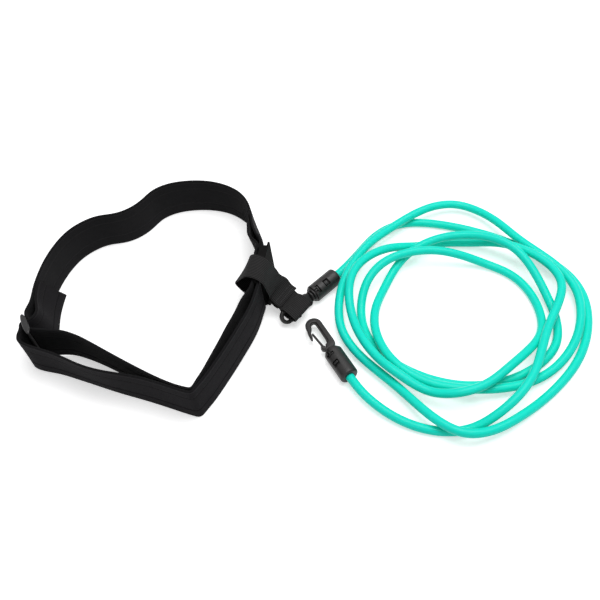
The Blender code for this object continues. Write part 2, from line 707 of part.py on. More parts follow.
def build_end(number, frame, swivel_frame, materials):
    """One end fitting: barrel, swivel insert, tube plug, hook and gate."""
    plastic, hook_plastic, gate_plastic = materials
    suffix = f"_{number}"
    sides = 32
    bore = BARREL_BORE / 2
    barrel = turned("barrel" + suffix, barrel_profile(), sides, plastic, frame)
    far = 12.0
    for side in (1, -1):
        z_range = (bore - 2, far) if side > 0 else (-far, -bore + 2)
        window = block(
            f"window{suffix}_{side}", (-WINDOW_START - WINDOW_LENGTH, -WINDOW_START),
            (-WINDOW_WIDTH / 2, WINDOW_WIDTH / 2), z_range, frame=frame,
        )
        notch = block(
            f"notch{suffix}_{side}", (-NOTCH_DEPTH, 2.0), (-NOTCH_WIDTH / 2, NOTCH_WIDTH / 2),
            z_range, frame=frame,
        )
        cross = block(
            f"notch_cross{suffix}_{side}",
            (-NOTCH_DEPTH - 0.1, -NOTCH_DEPTH + NOTCH_CROSS_LENGTH),
            (-NOTCH_CROSS_WIDTH / 2, NOTCH_CROSS_WIDTH / 2),
            z_range, frame=frame,
        )
        for cutter in (window, notch, cross):
            combine(barrel, cutter, "DIFFERENCE")

    insert_radius = bore - FIT
    shank = SHANK_DIAMETER / 2
    head = HEAD_DIAMETER / 2
    front = FIT + FLANGE_THICKNESS
    insert = turned(
        "swivel_insert" + suffix,
        [
            (front, shank + FIT), (front, FLANGE_DIAMETER / 2 - 0.4), (front - 0.4, FLANGE_DIAMETER / 2),
            (FIT, FLANGE_DIAMETER / 2), (FIT, insert_radius), (-INSERT_LENGTH, insert_radius),
            (-INSERT_LENGTH, head + FIT), (-INSERT_FRONT_WALL, head + FIT),
            (-INSERT_FRONT_WALL, shank + FIT),
        ],
        sides, plastic, frame,
    )
    reach = BARREL_DIAMETER / 2
    for side in (1, -1):
        inner_z = insert_radius - 0.8
        z_tab = (inner_z, reach - 0.9) if side > 0 else (-reach + 0.9, -inner_z)
        z_lug = (inner_z, reach - 1.0) if side > 0 else (-reach + 1.0, -inner_z)
        tab = block(
            f"tab{suffix}_{side}", (-WINDOW_START - WINDOW_LENGTH + 1.2, -WINDOW_START - 1.6),
            (-WINDOW_WIDTH / 2 + 1.0, WINDOW_WIDTH / 2 - 1.0), z_tab, frame=frame,
        )
        lug = block(
            f"lug{suffix}_{side}", (-NOTCH_DEPTH + 0.5, -NOTCH_DEPTH + NOTCH_CROSS_LENGTH - 0.6),
            (-NOTCH_CROSS_WIDTH / 2 + 0.5, NOTCH_WIDTH / 2 - 0.8), z_lug, frame=frame,
        )
        for piece in (tab, lug):
            combine(insert, piece, "UNION")

    tube_end = -BARREL_LENGTH + TUBE_INSERTION
    plug_radius = bore - FIT
    plug = turned(
        "tube_plug" + suffix,
        [
            (tube_end + FIT, 0), (tube_end + FIT, TUBE_DIAMETER / 2),
            (tube_end + 2.2, plug_radius), (-INSERT_LENGTH - FIT, plug_radius),
            (-INSERT_LENGTH - FIT, head), (-INSERT_LENGTH + 4.0, head * 0.6),
            (-INSERT_LENGTH + 4.0, 0),
        ],
        sides, plastic, frame,
    )

    hook = plate(
        "hook" + suffix, hook_outline(), -HOOK_THICKNESS / 2, HOOK_THICKNESS / 2,
        hook_plastic, swivel_frame,
    )
    seat = plate(
        "hook_seat" + suffix, arc(GATE_PIVOT, GATE_PIVOT_RADIUS + FIT, 0, 345, 24), -9, 9,
        frame=swivel_frame,
    )
    mouth = plate(
        "hook_mouth" + suffix,
        [(GATE_PIVOT[0], 3.4), (14.5, 0.2), (14.5, 8.2), (GATE_PIVOT[0], 7.0)], -9, 9,
        frame=swivel_frame,
    )
    shaft = turned(
        "hook_shaft" + suffix,
        [
            (-INSERT_FRONT_WALL - FIT - HEAD_THICKNESS, 0),
            (-INSERT_FRONT_WALL - FIT - HEAD_THICKNESS, head - 1.2),
            (-INSERT_FRONT_WALL - FIT - HEAD_THICKNESS + 1.2, head),
            (-INSERT_FRONT_WALL - FIT, head), (-INSERT_FRONT_WALL - FIT, shank),
            (front + FIT, shank), (front + FIT, COLLAR_DIAMETER / 2 - 0.4),
            (front + FIT + 0.4, COLLAR_DIAMETER / 2),
            (front + FIT + COLLAR_THICKNESS - 0.4, COLLAR_DIAMETER / 2),
            (front + FIT + COLLAR_THICKNESS, COLLAR_DIAMETER / 2 - 0.4),
            (front + FIT + COLLAR_THICKNESS + 1.2, shank - 0.4),
            (front + FIT + COLLAR_THICKNESS + 1.2, 0),
        ],
        24, frame=swivel_frame,
    )
    combine(hook, seat, "DIFFERENCE")
    combine(hook, mouth, "DIFFERENCE")
    combine(hook, shaft, "UNION")

    px, py = GATE_PIVOT
    tip = (GATE_TIP[0] - px, GATE_TIP[1] - py)
    lean = math.atan2(tip[1], tip[0])
    length = math.hypot(*tip)
    bar = []
    half = GATE_WIDTH / 2
    for x, y in ((1.4, -half), (length, -half * 0.8), (length, half * 0.8), (1.4, half)):
        bar.append((
            x * math.cos(lean) - y * math.sin(lean), x * math.sin(lean) + y * math.cos(lean)
        ))
    knuckle = arc((0, 0), GATE_PIVOT_RADIUS, math.degrees(lean) + 32, math.degrees(lean) + 328, 14)
    gate_frame = swivel_frame @ Matrix.Translation(Vector((px * MM, py * MM, 0.0)))
    gate = plate(
        "gate" + suffix, bar[:3] + [bar[3]] + knuckle, -GATE_THICKNESS / 2, GATE_THICKNESS / 2,
        gate_plastic, gate_frame,
    )
    return [barrel, insert, plug, hook, gate]


# Reach of the tube from the coil's middle, ten directions a turn, clockwise from the first
# barrel's mouth
COIL_START = 155.0
COIL_DIRECTIONS = 10
COIL_REACH = (
    (147, 145, 119, 114, 132, 132, 133, 152, 120, 132),
    (133, 136, 150, 114, 124, 122, 111, 101, 103, 98),
    (90, 94, 93, 92, 91, 104, 98, 93, 96, 108),
    (107, 84, 69, 73, 79, 86, 89, 111, 113, 118),
    (124, 105, 97, 100, 110, 92, 113, 144),
)


def end_point(frame, x):
    """Plan point in millimetres of a point on an end fitting's axis."""
    point = frame @ Vector((x * MM, 0.0, 0.0))
    return (point.x / MM + PLAN_ORIGIN[0], point.y / MM + PLAN_ORIGIN[1])


def tube_route(frame_1, frame_2):
    """Plan route of the tube from inside the first barrel to inside the second."""
    inside = -BARREL_LENGTH + TUBE_INSERTION
    mouth = -BARREL_LENGTH - TUBE_DIAMETER
    knots = [end_point(frame_1, inside), end_point(frame_1, -BARREL_LENGTH), end_point(frame_1, mouth)]
    step = 360.0 / COIL_DIRECTIONS
    reaches = [reach for turn in COIL_REACH for reach in turn]
    for i, reach in enumerate(reaches[1:], 1):
        angle = math.radians(COIL_START - i * step)
        knots.append((
            COIL_CENTRE[0] + reach * math.cos(angle), COIL_CENTRE[1] + reach * math.sin(angle)
        ))
    knots += [end_point(frame_2, mouth), end_point(frame_2, -BARREL_LENGTH), end_point(frame_2, inside)]
    return spline(knots, 4.0)


def even(points, count):
    """The same curve read at a number of equal steps."""
    length = np.concatenate([[0.0], np.cumsum(np.linalg.norm(np.diff(points, axis=0), axis=1))])
    at = np.linspace(0.0, length[-1], count)
    return np.column_stack([np.interp(at, length, points[:, k]) for k in range(points.shape[1])])


def lies_over(first, second, angle):
    """Whether turn first lies over turn second at a compass angle of the coil."""
    if {first, second} == {2, 3}:
        return first == 2
    if {first, second} == {1, 5}:
        return first == 1
    if {first, second} == {3, 5} and 30 < angle % 360 < 150:
        return first == 3
    return first > second


def tube_heights(route, heights):
    """Height of the tube's middle at each point of its route: the heights given, with a long
    hump over each run that it crosses."""
    parts = 8
    count = len(route)
    cells = (count - 1) * parts
    where = np.arange(cells + 1) / parts
    weights = np.maximum(0.0, 1.0 - np.abs(where[:, None] - np.arange(count)[None]))
    fine = weights @ route
    spacing = np.linalg.norm(np.diff(route, axis=0), axis=1).mean()
    offset = fine - np.array(COIL_CENTRE)
    angle = np.degrees(np.unwrap(np.arctan2(offset[:, 1], offset[:, 0])))
    angle += COIL_START - angle[0]
    turn = np.clip(1 + np.floor((COIL_START + 18 - angle) / 360).astype(int), 1, 5)
    reach = TUBE_DIAMETER + COIL_LIFT_GAP
    apart = np.linalg.norm(fine[:, None] - fine[None], axis=2)
    along = np.abs(where[:, None] - where[None]) * spacing
    close = (apart < reach) & (along > 8 * TUBE_DIAMETER)
    need = np.sqrt(np.maximum(reach ** 2 - apart ** 2, 0.0))
    upper = np.zeros_like(close)
    for i, j in np.argwhere(close):
        upper[i, j] = lies_over(turn[i], turn[j], angle[i])
    order = np.arange(count)
    away = np.abs(order[:, None] - order[None]) * spacing / HUMP_HALF_LENGTH
    hump = np.where(away < 1.0, np.cos(np.pi / 2 * away) ** 2, 0.0)
    for _ in range(200):
        level = weights @ heights
        short = np.where(close & upper, level[None, :] + need - level[:, None], 0.0).max(axis=1)
        if short.max() < 0.02:
            break
        lack = np.where(weights > 0, short[:, None], 0.0).max(axis=0)
        heights = np.maximum(heights, heights + (lack[None, :] * hump).max(axis=1))
    return heights


def least_gap(points):
    """Least distance between the surfaces of runs of the tube that aren't neighbours."""
    fine = even(points, len(points) * 10)
    spacing = np.linalg.norm(np.diff(fine, axis=0), axis=1).mean()
    apart = np.linalg.norm(fine[:, None] - fine[None], axis=2)
    order = np.arange(len(fine))
    apart[np.abs(order[:, None] - order[None]) * spacing < 8 * TUBE_DIAMETER] = np.inf
    place = np.unravel_index(apart.argmin(), apart.shape)
    return apart.min() - TUBE_DIAMETER, fine[place[0]]


def build_tube(frame_1, frame_2, material):
    """Stretch tube: one curve from barrel to barrel through its five loose turns."""
    inside, outside = -BARREL_LENGTH + TUBE_INSERTION, -BARREL_LENGTH - TUBE_DIAMETER
    route = tube_route(frame_1, frame_2)
    turns = sum(len(turn) for turn in COIL_REACH) / COIL_DIRECTIONS
    points = even(route, round(turns * COIL_POINTS_PER_TURN))
    starts = [end_point(frame_1, x) for x in (inside, outside)]
    ends = [end_point(frame_2, x) for x in (outside, inside)]
    clear = TUBE_INSERTION + TUBE_DIAMETER + 8.0
    body = [
        tuple(p) for p in points
        if math.dist(p, starts[0]) > clear and math.dist(p, ends[1]) > clear
    ]
    plan = np.array(starts + body + ends)
    heights = np.full(len(plan), TUBE_DIAMETER / 2)
    travel = np.concatenate([[0.0], np.cumsum(np.linalg.norm(np.diff(plan, axis=0), axis=1))])
    for distance in (travel, travel[-1] - travel):
        ease = np.clip((distance - TUBE_INSERTION - TUBE_DIAMETER - 2.0) / 90.0, 0.0, 1.0)
        ease = ease * ease * (3 - 2 * ease)
        level = BARREL_DIAMETER / 2 * (1 - ease) + TUBE_DIAMETER / 2 * ease
        heights = np.maximum(heights, level)
    heights = tube_heights(plan, heights)
    heights[:2] = heights[-2:] = BARREL_DIAMETER / 2
    points = np.column_stack([plan, heights])
    curve = bpy.data.curves.new("tether_tube", "CURVE")
    curve.dimensions = "3D"
    curve.bevel_depth = TUBE_DIAMETER / 2 * MM
    curve.bevel_resolution = (TUBE_SIDES - 4) // 2
    curve.use_fill_caps = True
    line = curve.splines.new("POLY")
    line.points.add(len(points) - 1)
    for target, (x, y, z) in zip(line.points, points):
        target.co = ((x - PLAN_ORIGIN[0]) * MM, (y - PLAN_ORIGIN[1]) * MM, z * MM, 1.0)
    tube = bpy.data.objects.new("tether_tube", curve)
    bpy.context.collection.objects.link(tube)
    curve.materials.append(material)
    gap, place = least_gap(points)
    print(f"tether_tube: {travel[-1]:.0f} mm long, {len(points)} points, "
          f"highest {heights.max():.1f} mm, least gap to itself {gap:.2f} mm at {place.round(0)}")
    return tube


def swivel_frame(base, roll):
    """Frame of an end fitting turned about its own axis."""
    return base @ Matrix.Rotation(roll, 4, "X")


def axis_frame(point, heading):
    """Frame with X along a heading in plan and Z up, at the height of a barrel's middle."""
    x, y = point[0] - PLAN_ORIGIN[0], point[1] - PLAN_ORIGIN[1]
    matrix = Matrix.Rotation(heading, 4, "Z")
    matrix.translation = Vector((x * MM, y * MM, BARREL_DIAMETER / 2 * MM))
    return matrix


def main():
    remove_all()
    cloth = make_material("black_strap_cloth", (0.02, 0.02, 0.022), 0.9)
    webbing = make_material("black_webbing", (0.024, 0.024, 0.025), 0.85)
    thread = make_material("thread", (0.02, 0.02, 0.02), 0.8)
    buckle_plastic = make_material("buckle_plastic", (0.035, 0.034, 0.034), 0.4)
    barrel_plastic = make_material("barrel_plastic", (0.05, 0.047, 0.047), 0.45)
    hook_plastic = make_material("hook_plastic", (0.06, 0.058, 0.058), 0.45)
    latex = make_material("turquoise_latex", (0.03, 0.75, 0.6), 0.4)

    build_strap(cloth, thread)
    buckle = plan_frame(BUCKLE_START, BUCKLE_HEADING, BUCKLE_MIDDLE)
    build_female(buckle, buckle_plastic)
    build_male(buckle, buckle_plastic)
    build_arms(buckle_plastic)
    build_slider(buckle_plastic)
    build_tether(webbing, thread)

    end_1 = axis_frame(END_1, END_1_HEADING)
    end_2 = axis_frame(END_2, END_2_HEADING)
    parts = (barrel_plastic, hook_plastic, hook_plastic)
    build_end(
        1, swivel_frame(end_1, BARREL_1_ROLL), swivel_frame(end_1, HOOK_1_ROLL), parts
    )
    build_end(
        2, swivel_frame(end_2, BARREL_2_ROLL), swivel_frame(end_2, HOOK_2_ROLL), parts
    )
    build_tube(end_1, end_2, latex)


main()
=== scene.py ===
import math

import bmesh
import bpy
import numpy as np
from mathutils import Matrix, Vector


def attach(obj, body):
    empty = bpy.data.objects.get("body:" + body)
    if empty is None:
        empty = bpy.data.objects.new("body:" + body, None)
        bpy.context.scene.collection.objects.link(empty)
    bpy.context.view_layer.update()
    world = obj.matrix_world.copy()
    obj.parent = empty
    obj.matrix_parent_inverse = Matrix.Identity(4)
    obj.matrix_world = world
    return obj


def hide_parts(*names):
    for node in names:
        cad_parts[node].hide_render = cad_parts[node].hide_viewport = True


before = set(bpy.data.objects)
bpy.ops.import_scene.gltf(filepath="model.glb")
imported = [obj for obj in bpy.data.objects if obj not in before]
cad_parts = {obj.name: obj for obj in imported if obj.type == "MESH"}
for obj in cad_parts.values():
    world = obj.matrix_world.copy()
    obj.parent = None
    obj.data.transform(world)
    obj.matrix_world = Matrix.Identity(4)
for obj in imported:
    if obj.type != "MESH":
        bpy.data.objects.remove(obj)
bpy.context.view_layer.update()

# Looks of the swim training belt. Routes are in millimetres in the plan that the part is drawn
# in, and every mesh is moved to the part's own origin in metres where it is made.

MM = 0.001
PLAN_ORIGIN = np.array((-185.6, 11.3, 0))

FIT = 0.3
LAYER_GAP = 0.45
STRAP_WIDTH = 50
STRAP_THICKNESS = 2.2
HEM_DEPTH = 12.4
HEM_HEIGHT = 0.24
BUCKLE_START = (-98, 47)
BUCKLE_HEADING = math.radians(-101)
BUCKLE_WIDTH = 56
BUCKLE_THICKNESS = 9
FEMALE_BAR_DEPTH = 3.6
MALE_PLATE = 3.4
WINDOW_A = 7
BAR_START = 13.4
WINDOW_B = 16.4
SLOT_START = 47.1
SLOT_END = 52.7
SLIDER_CENTRE = (-344, -41.5)
SLIDER_HEADING = math.radians(-64.5)
SLIDER_BAR = 3
SLIDER_SLOT = 9.5
SLIDER_THICKNESS = 3
SLIDER_HEIGHT = 56
WEBBING_WIDTH = 31
WEBBING_THICKNESS = 1.6
END_LOOP_WIDTH = 28
RIB_PITCH = WEBBING_WIDTH / 16
RIB_HEIGHT = 0.26
TETHER_AT = 36
TETHER_SLANT = 0.325
STACK_END = (-77, -3.5)
STACK_YAW = -126
STACK_LIFT = 11.2
STACK_SLOPE = 0.28
EYE_DISTANCE = 27.3
STITCH_PITCH = 2.6
STITCH_RADIUS = 0.26
TUBE_DIAMETER = 9.5
COIL_CENTRE = (110, -28)
COIL_POINTS_PER_TURN = 24
COIL_LIFT_GAP = 1.4
HUMP_HALF_LENGTH = 75
BARREL_DIAMETER = 20
BARREL_LENGTH = 35
BARREL_BORE = 15.2
BARREL_LIP = 4
BARREL_EDGE = 2.4
WINDOW_START = 14
WINDOW_LENGTH = 7
WINDOW_WIDTH = 8
NOTCH_DEPTH = 7
NOTCH_WIDTH = 4.6
NOTCH_CROSS_WIDTH = 9.6
NOTCH_CROSS_LENGTH = 3.4
TUBE_INSERTION = 11
INSERT_LENGTH = 19.6
INSERT_FRONT_WALL = 4.6
FLANGE_DIAMETER = 16.8
FLANGE_THICKNESS = 1.9
HEAD_DIAMETER = 10.4
HEAD_THICKNESS = 3.3
SHANK_DIAMETER = 5
COLLAR_DIAMETER = 12.4
COLLAR_THICKNESS = 2.5
HOOK_THICKNESS = 4.8
HOOK_BOW_CENTRE = (40, 0.6)
HOOK_BOW_RADIUS = 8.4
HOOK_LEG_WIDTH = 4.2
HOOK_2_STOUTER = 0.8
GATE_PIVOT = (10, 5.2)
GATE_PIVOT_RADIUS = 2
GATE_THICKNESS = 3.6
GATE_WIDTH = 1.8
GATE_TIP = (31.5, 7)
END_1 = (-51, 5)
END_1_HEADING = math.radians(-137.4)
BARREL_1_ROLL = math.radians(-25)
HOOK_1_ROLL = math.radians(-48)
END_2 = (-32, -73)
END_2_HEADING = math.radians(118)
BARREL_2_ROLL = math.radians(-38)
HOOK_2_ROLL = 0

BUCKLE_MIDDLE = WEBBING_THICKNESS + FIT + BUCKLE_WIDTH / 2
SLIDER_MIDDLE = SLIDER_HEIGHT / 2 + FIT
BUCKLE_LIFT = BUCKLE_MIDDLE - STRAP_WIDTH / 2
SLIDER_LIFT = SLIDER_MIDDLE - STRAP_WIDTH / 2
TETHER_LIFT = WEBBING_THICKNESS + FIT + 0.2

# Reach of the tube from the coil's middle, clockwise from the first barrel's mouth
COIL_START = 155
COIL_DIRECTIONS = 10
COIL_REACH = (
    (147, 145, 119, 114, 132, 132, 133, 152, 120, 132),
    (133, 136, 150, 114, 124, 122, 111, 101, 103, 98),
    (90, 94, 93, 92, 91, 104, 98, 93, 96, 108),
    (107, 84, 69, 73, 79, 86, 89, 111, 113, 118),
    (124, 105, 97, 100, 110, 92, 113, 144),
)

# Camera and light
CAMERA_ELEVATION = math.radians(53.5)
CAMERA_ROLL = math.radians(-4)
CAMERA_PLACE = (0.1856, -0.5419, 0.7170)
CAMERA_LENS = 48.24
CAMERA_SHIFT = -0.1
WORLD_LIGHT = 0.3
FLOOR_GLOW = 0.5
FLOOR_HALF = 6
FLOOR_LEVEL = -0.0003
LAMP_TARGET = Vector((0.1, 0, 0))
WHITE = (1, 1, 1)


def add_object(name, data):
    made = bpy.data.objects.new(name, data)
    bpy.context.collection.objects.link(made)
    return made


def make_camera():
    """Camera looking along +Y and down, turned a little about its own axis."""
    data = bpy.data.cameras.new("camera")
    camera = add_object("camera", data)
    tilt = Matrix.Rotation(math.pi / 2 - CAMERA_ELEVATION, 4, "X")
    roll = Matrix.Rotation(CAMERA_ROLL, 4, "Z")
    camera.matrix_world = Matrix.Translation(CAMERA_PLACE) @ tilt @ roll
    data.sensor_width = 36
    data.lens = CAMERA_LENS
    data.shift_x = CAMERA_SHIFT
    data.clip_start = 0.01
    data.clip_end = 20
    bpy.context.scene.camera = camera


# Node maths


def operator(operation, swapped=False):
    """A method that makes a Math node of a term and perhaps another value."""
    def act(term, *other):
        values = (*other, term) if swapped else (term, *other)
        return term.finish.maths(operation, *values)
    return act


class Term:
    """A value socket that takes part in sums, products and powers, each one a Math node."""

    def __init__(self, finish, socket):
        self.finish, self.socket = finish, socket

    __add__ = operator("ADD")
    __radd__ = operator("ADD", True)
    __sub__ = operator("SUBTRACT")
    __rsub__ = operator("SUBTRACT", True)
    __mul__ = operator("MULTIPLY")
    __rmul__ = operator("MULTIPLY", True)
    __pow__ = operator("POWER")
    __abs__ = operator("ABSOLUTE")


class Nodes:
    """The node tree of a material or world."""

    def __init__(self, owner):
        owner.use_nodes = True
        self.tree = owner.node_tree

    def node(self, kind, sockets=None, **settings):
        """A new node: its settings first, then the values or links of its sockets."""
        made = self.tree.nodes.new("ShaderNode" + kind)
        for key, value in settings.items():
            setattr(made, key, value)
        for key, value in (sockets or {}).items():
            self.join(value, made.inputs[key])
        return made

    def join(self, value, socket):
        """Links a term or socket to a socket, or sets its value."""
        if isinstance(value, Term):
            value = value.socket
        if isinstance(value, bpy.types.NodeSocket):
            self.tree.links.new(value, socket)
        elif socket.type == "RGBA":
            socket.default_value = (*value, 1)
        else:
            socket.default_value = value

    def maths(self, operation, *values):
        made = self.node("Math", dict(enumerate(values)), operation=operation)
        return Term(self, made.outputs[0])

    def seen(self):
        """1 where a thing is looked at, straight, mirrored or through another, else 0."""
        rays = self.node("LightPath").outputs
        either = self.maths("MAXIMUM", rays["Is Camera Ray"], rays["Is Glossy Ray"])
        return self.maths("MAXIMUM", either, rays["Is Transmission Ray"])


class Finish(Nodes):
    """One material: its Principled shader and what its nodes say."""

    def __init__(self, name, roughness, **constants):
        self.material = bpy.data.materials.new(name)
        super().__init__(self.material)
        self.shader = self.tree.nodes["Principled BSDF"]
        self.feed(Roughness=roughness, **constants)

    def feed(self, **sockets):
        """Joins values or nodes to the shader."""
        for socket, value in sockets.items():
            self.join(value, self.shader.inputs[socket.replace("_", " ")])
        return self.material

    def wave(self, term, pitch):
        """Sine of a length, one period every pitch metres, from 0 to 1."""
        return self.maths("SINE", term * (2 * math.pi / pitch)) * 0.5 + 0.5

    def pulse(self, term, centre, half):
        """1 at the centre of a band and 0 past its half width, smoothly."""
        near = self.maths("MULTIPLY_ADD", abs(term - centre), -1 / half, 1)
        return self.maths("SMOOTH_MAX", near, 0, 0.15)

    def step(self, term, edge, width):
        """0 below an edge and 1 above it."""
        sockets = {"Value": term, "From Min": edge - width, "From Max": edge + width}
        made = self.node("MapRange", sockets, interpolation_type="SMOOTHSTEP")
        return Term(self, made.outputs["Result"])

    def place(self):
        return self.node("TexCoord").outputs["Object"]

    def own_map(self):
        return self.node("UVMap", uv_map="UVMap").outputs["UV"]

    def split(self, vector):
        """The first two numbers of a vector."""
        parts = self.node("SeparateXYZ", {0: vector}).outputs
        return Term(self, parts[0]), Term(self, parts[1])

    def noise(self, scale, detail=2, roughness=0.5, vector=None, stretch=None):
        vector = vector or self.place()
        if stretch:
            vector = self.node("Mapping", {"Vector": vector, "Scale": stretch}).outputs[0]
        sockets = {"Vector": vector, "Scale": scale, "Detail": detail, "Roughness": roughness}
        return Term(self, self.node("TexNoise", sockets).outputs["Fac"])

    def mix(self, factor, low, high):
        """Colour from low to high by a factor."""
        return self.node("Mix", {0: factor, 6: low, 7: high}, data_type="RGBA").outputs[2]

    def bump(self, height, distance, strength):
        sockets = {"Height": height, "Distance": distance, "Strength": strength}
        return self.node("Bump", sockets).outputs[0]


def strap_finish():
    """Closely woven black strap: a plain weave, bound edges and a line of hem stitches."""
    f = Finish("strap_cloth", 0.86, Sheen_Weight=0.02, Sheen_Roughness=0.5, Specular_IOR_Level=0.05)
    along, across = f.split(f.own_map())
    warp = f.wave(across, 0.0011)
    weft = f.wave(along, 0.0013)
    weave = warp * weft + (1 - warp) * (1 - weft)
    edge = f.maths("MINIMUM", across, STRAP_WIDTH * MM - across)
    bound = 1 - f.step(edge, 0.0021, 0.0003)
    seam = f.pulse(edge, 0.0134, 0.0011)
    stitch = seam * f.step(f.wave(along, 0.0034), 0.22, 0.1)
    outer = Term(f, f.node("Attribute", attribute_name="outer").outputs["Fac"])
    cloudy = f.noise(26, 3)
    fibre = f.noise(900)
    tone = weave * 0.16 + fibre * 0.26 + cloudy * 0.34 + outer * 0.3
    # Painted light: the inner face is coloured lighter and the outer face darker, to even out the
    # shade on inner faces and the lamp light on outer ones.
    shade_lifted_inner_colour = f.mix(tone, (0.0086, 0.0086, 0.0092), (0.0234, 0.023, 0.0242))
    light_dimmed_outer_colour = f.mix(tone, (0.0048, 0.0045, 0.0051), (0.013, 0.0121, 0.0139))
    colour = f.mix(outer, shade_lifted_inner_colour, light_dimmed_outer_colour)
    colour = f.mix(f.pulse(edge, 0.0028, 0.0012) * 0.5, colour, (0.03, 0.0285, 0.031))
    colour = f.mix(bound * 0.5, colour, (0.006, 0.006, 0.0062))
    line = f.mix(outer, (0.024, 0.0236, 0.0246), (0.0015, 0.0015, 0.0016))
    colour = f.mix(seam * 0.7, colour, line)
    colour = f.mix(stitch * 0.35, colour, (0.02, 0.0195, 0.0205))
    height = weave * 0.5 + fibre * 0.35 + bound * 0.9 - seam * 0.8 + stitch * 1.2
    bumps = f.bump(height, 0.00022, 0.65)
    return f.feed(Base_Color=colour, Roughness=0.94 - tone * 0.16, Normal=bumps)


def webbing_finish():
    """Heavier black webbing: ribs along its length crossed by slanting threads, with painted shade in
    the grooves between the ribs.
    """
    f = Finish("tether_webbing", 0.8, Sheen_Weight=0.04, Sheen_Roughness=0.45, Specular_IOR_Level=0.14)
    along, across = f.split(f.own_map())
    rib = 1 - abs(f.wave(across, 0.00388) * 2 - 1) ** 2
    twill = f.wave(along + across * 0.9, 0.0016)
    fibre = f.noise(1100)
    # The colour follows the ribs: painted shade darkens the grooves between them and painted light
    # brightens their crests. The slanting threads and fibres add to it.
    tone = rib * (0.55 + twill * 0.3) + fibre * 0.1 + f.noise(38) * 0.05
    colour = f.mix(tone, (0.002, 0.002, 0.0021), (0.039, 0.038, 0.0385))
    bumps = f.bump(rib * 0.8 + twill * 0.45 + fibre * 0.2, 0.0003, 0.8)
    return f.feed(Base_Color=colour, Roughness=0.95 - tone * 0.25, Normal=bumps)


def thread_finish():
    """Bonded black thread with a tight twist and a slight shine."""
    f = Finish("sewing_thread", 0.5, Specular_IOR_Level=0.45)
    along, across = f.split(f.own_map())
    twist = f.wave(along + across * 0.9, 0.0007)
    tone = twist * 0.6 + f.noise(2600, 1) * 0.4
    colour = f.mix(tone, (0.01, 0.01, 0.0105), (0.05, 0.049, 0.051))
    bumps = f.bump(twist, 0.0001, 0.8)
    return f.feed(Base_Color=colour, Roughness=0.62 - tone * 0.2, Normal=bumps)


def moulded_finish(name, dark, light, shine, grain, gloss):
    """Moulded plastic: fine spark grain, faint flow marks and rubbed patches."""
    f = Finish(name, shine, Specular_IOR_Level=gloss)
    grit = f.noise(2400, 2, 0.6)
    flow = f.noise(60, 3, stretch=(1, 3, 1))
    scuff = f.step(f.noise(420, 4, 0.7), 0.66, 0.06)
    colour = f.mix(flow * 0.7 + grit * 0.3, dark, light)
    colour = f.mix(scuff * 0.35, colour, [c * 1.9 for c in light])
    roughness = shine + 0.14 * flow + 0.1 * scuff - 0.06
    bumps = f.bump(grit + scuff * 0.2, 0.00006, grain)
    return f.feed(Base_Color=colour, Roughness=roughness, Normal=bumps)


def latex_finish():
    """Smooth turquoise latex: faint drawn lines, a little bloom and small cloudy patches."""
    f = Finish("turquoise_latex", 0.36, Specular_IOR_Level=0.1, Coat_Roughness=0.16, Coat_IOR=1.35)
    drawn = f.noise(1, vector=f.own_map(), stretch=(9, 900, 1))
    bloom = f.noise(240, 3, 0.65)
    speck = f.step(bloom, 0.64, 0.06)
    tone = f.noise(30, 3) * 0.6 + drawn * 0.4
    colour = f.mix(tone, (0.002, 0.7, 0.535), (0.008, 0.83, 0.67))
    colour = f.mix(speck * 0.2, colour, (0.08, 0.87, 0.73))
    return f.feed(
        Base_Color=colour, Roughness=0.27 + bloom * 0.2 + speck * 0.12,
        Coat_Weight=0.2 - speck * 0.15, Normal=f.bump(drawn + bloom * 0.5, 0.00006, 0.5),
    )


# Mesh making


def grid(*numbers):
    """Arrays of numbers joined point by point."""
    return np.stack(np.broadcast_arrays(*numbers), axis=-1)


def unit(vectors):
    return vectors / np.linalg.norm(vectors, axis=-1, keepdims=True)


def left_of(run):
    return grid(-run[:, 1], run[:, 0])


def full_turn(sides):
    return np.linspace(0, 2 * np.pi, sides, endpoint=False)


def ring_faces(rows, columns, loop=False):
    """Quads of a grid of points, each row a ring. A loop joins the last row to the first."""
    i = np.arange(rows if loop else rows - 1)[:, None]
    j = np.arange(columns)
    near, far = i * columns, (i + 1) % rows * columns
    k = (j + 1) % columns
    return grid(near + j, near + k, far + k, far + j).reshape(-1, 4).tolist()


def ring_form(points, **more):
    """A part from a grid of points, each row a ring, with a cap at both ends."""
    rows, columns = points.shape[:2]
    last = (rows - 1) * columns
    caps = [tuple(range(columns))[::-1], tuple(range(last, last + columns))]
    faces = ring_faces(rows, columns) + caps
    return {"points": points.reshape(-1, 3), "faces": faces, **more}


def circles(centres, side, up, radius, sides):
    """Rings of a radius round centres, drawn by a side and an up vector, and their angles."""
    angle = full_turn(sides)
    spokes = np.cos(angle)[:, None] * side[..., None, :] + np.sin(angle)[:, None] * up[..., None, :]
    return centres[:, None] + np.reshape(radius, (-1, 1, 1)) * spokes, angle


def add_piece(name, mesh, sharp, look, body, node):
    """Object of a mesh, smooth up to an angle, that rides on a body for a node."""
    mesh.shade_smooth()
    mesh.set_sharp_from_angle(angle=math.radians(sharp))
    mesh.materials.clear()
    mesh.materials.append(look)
    piece = add_object(name, mesh)
    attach(piece, body)
    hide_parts(node)
    return piece


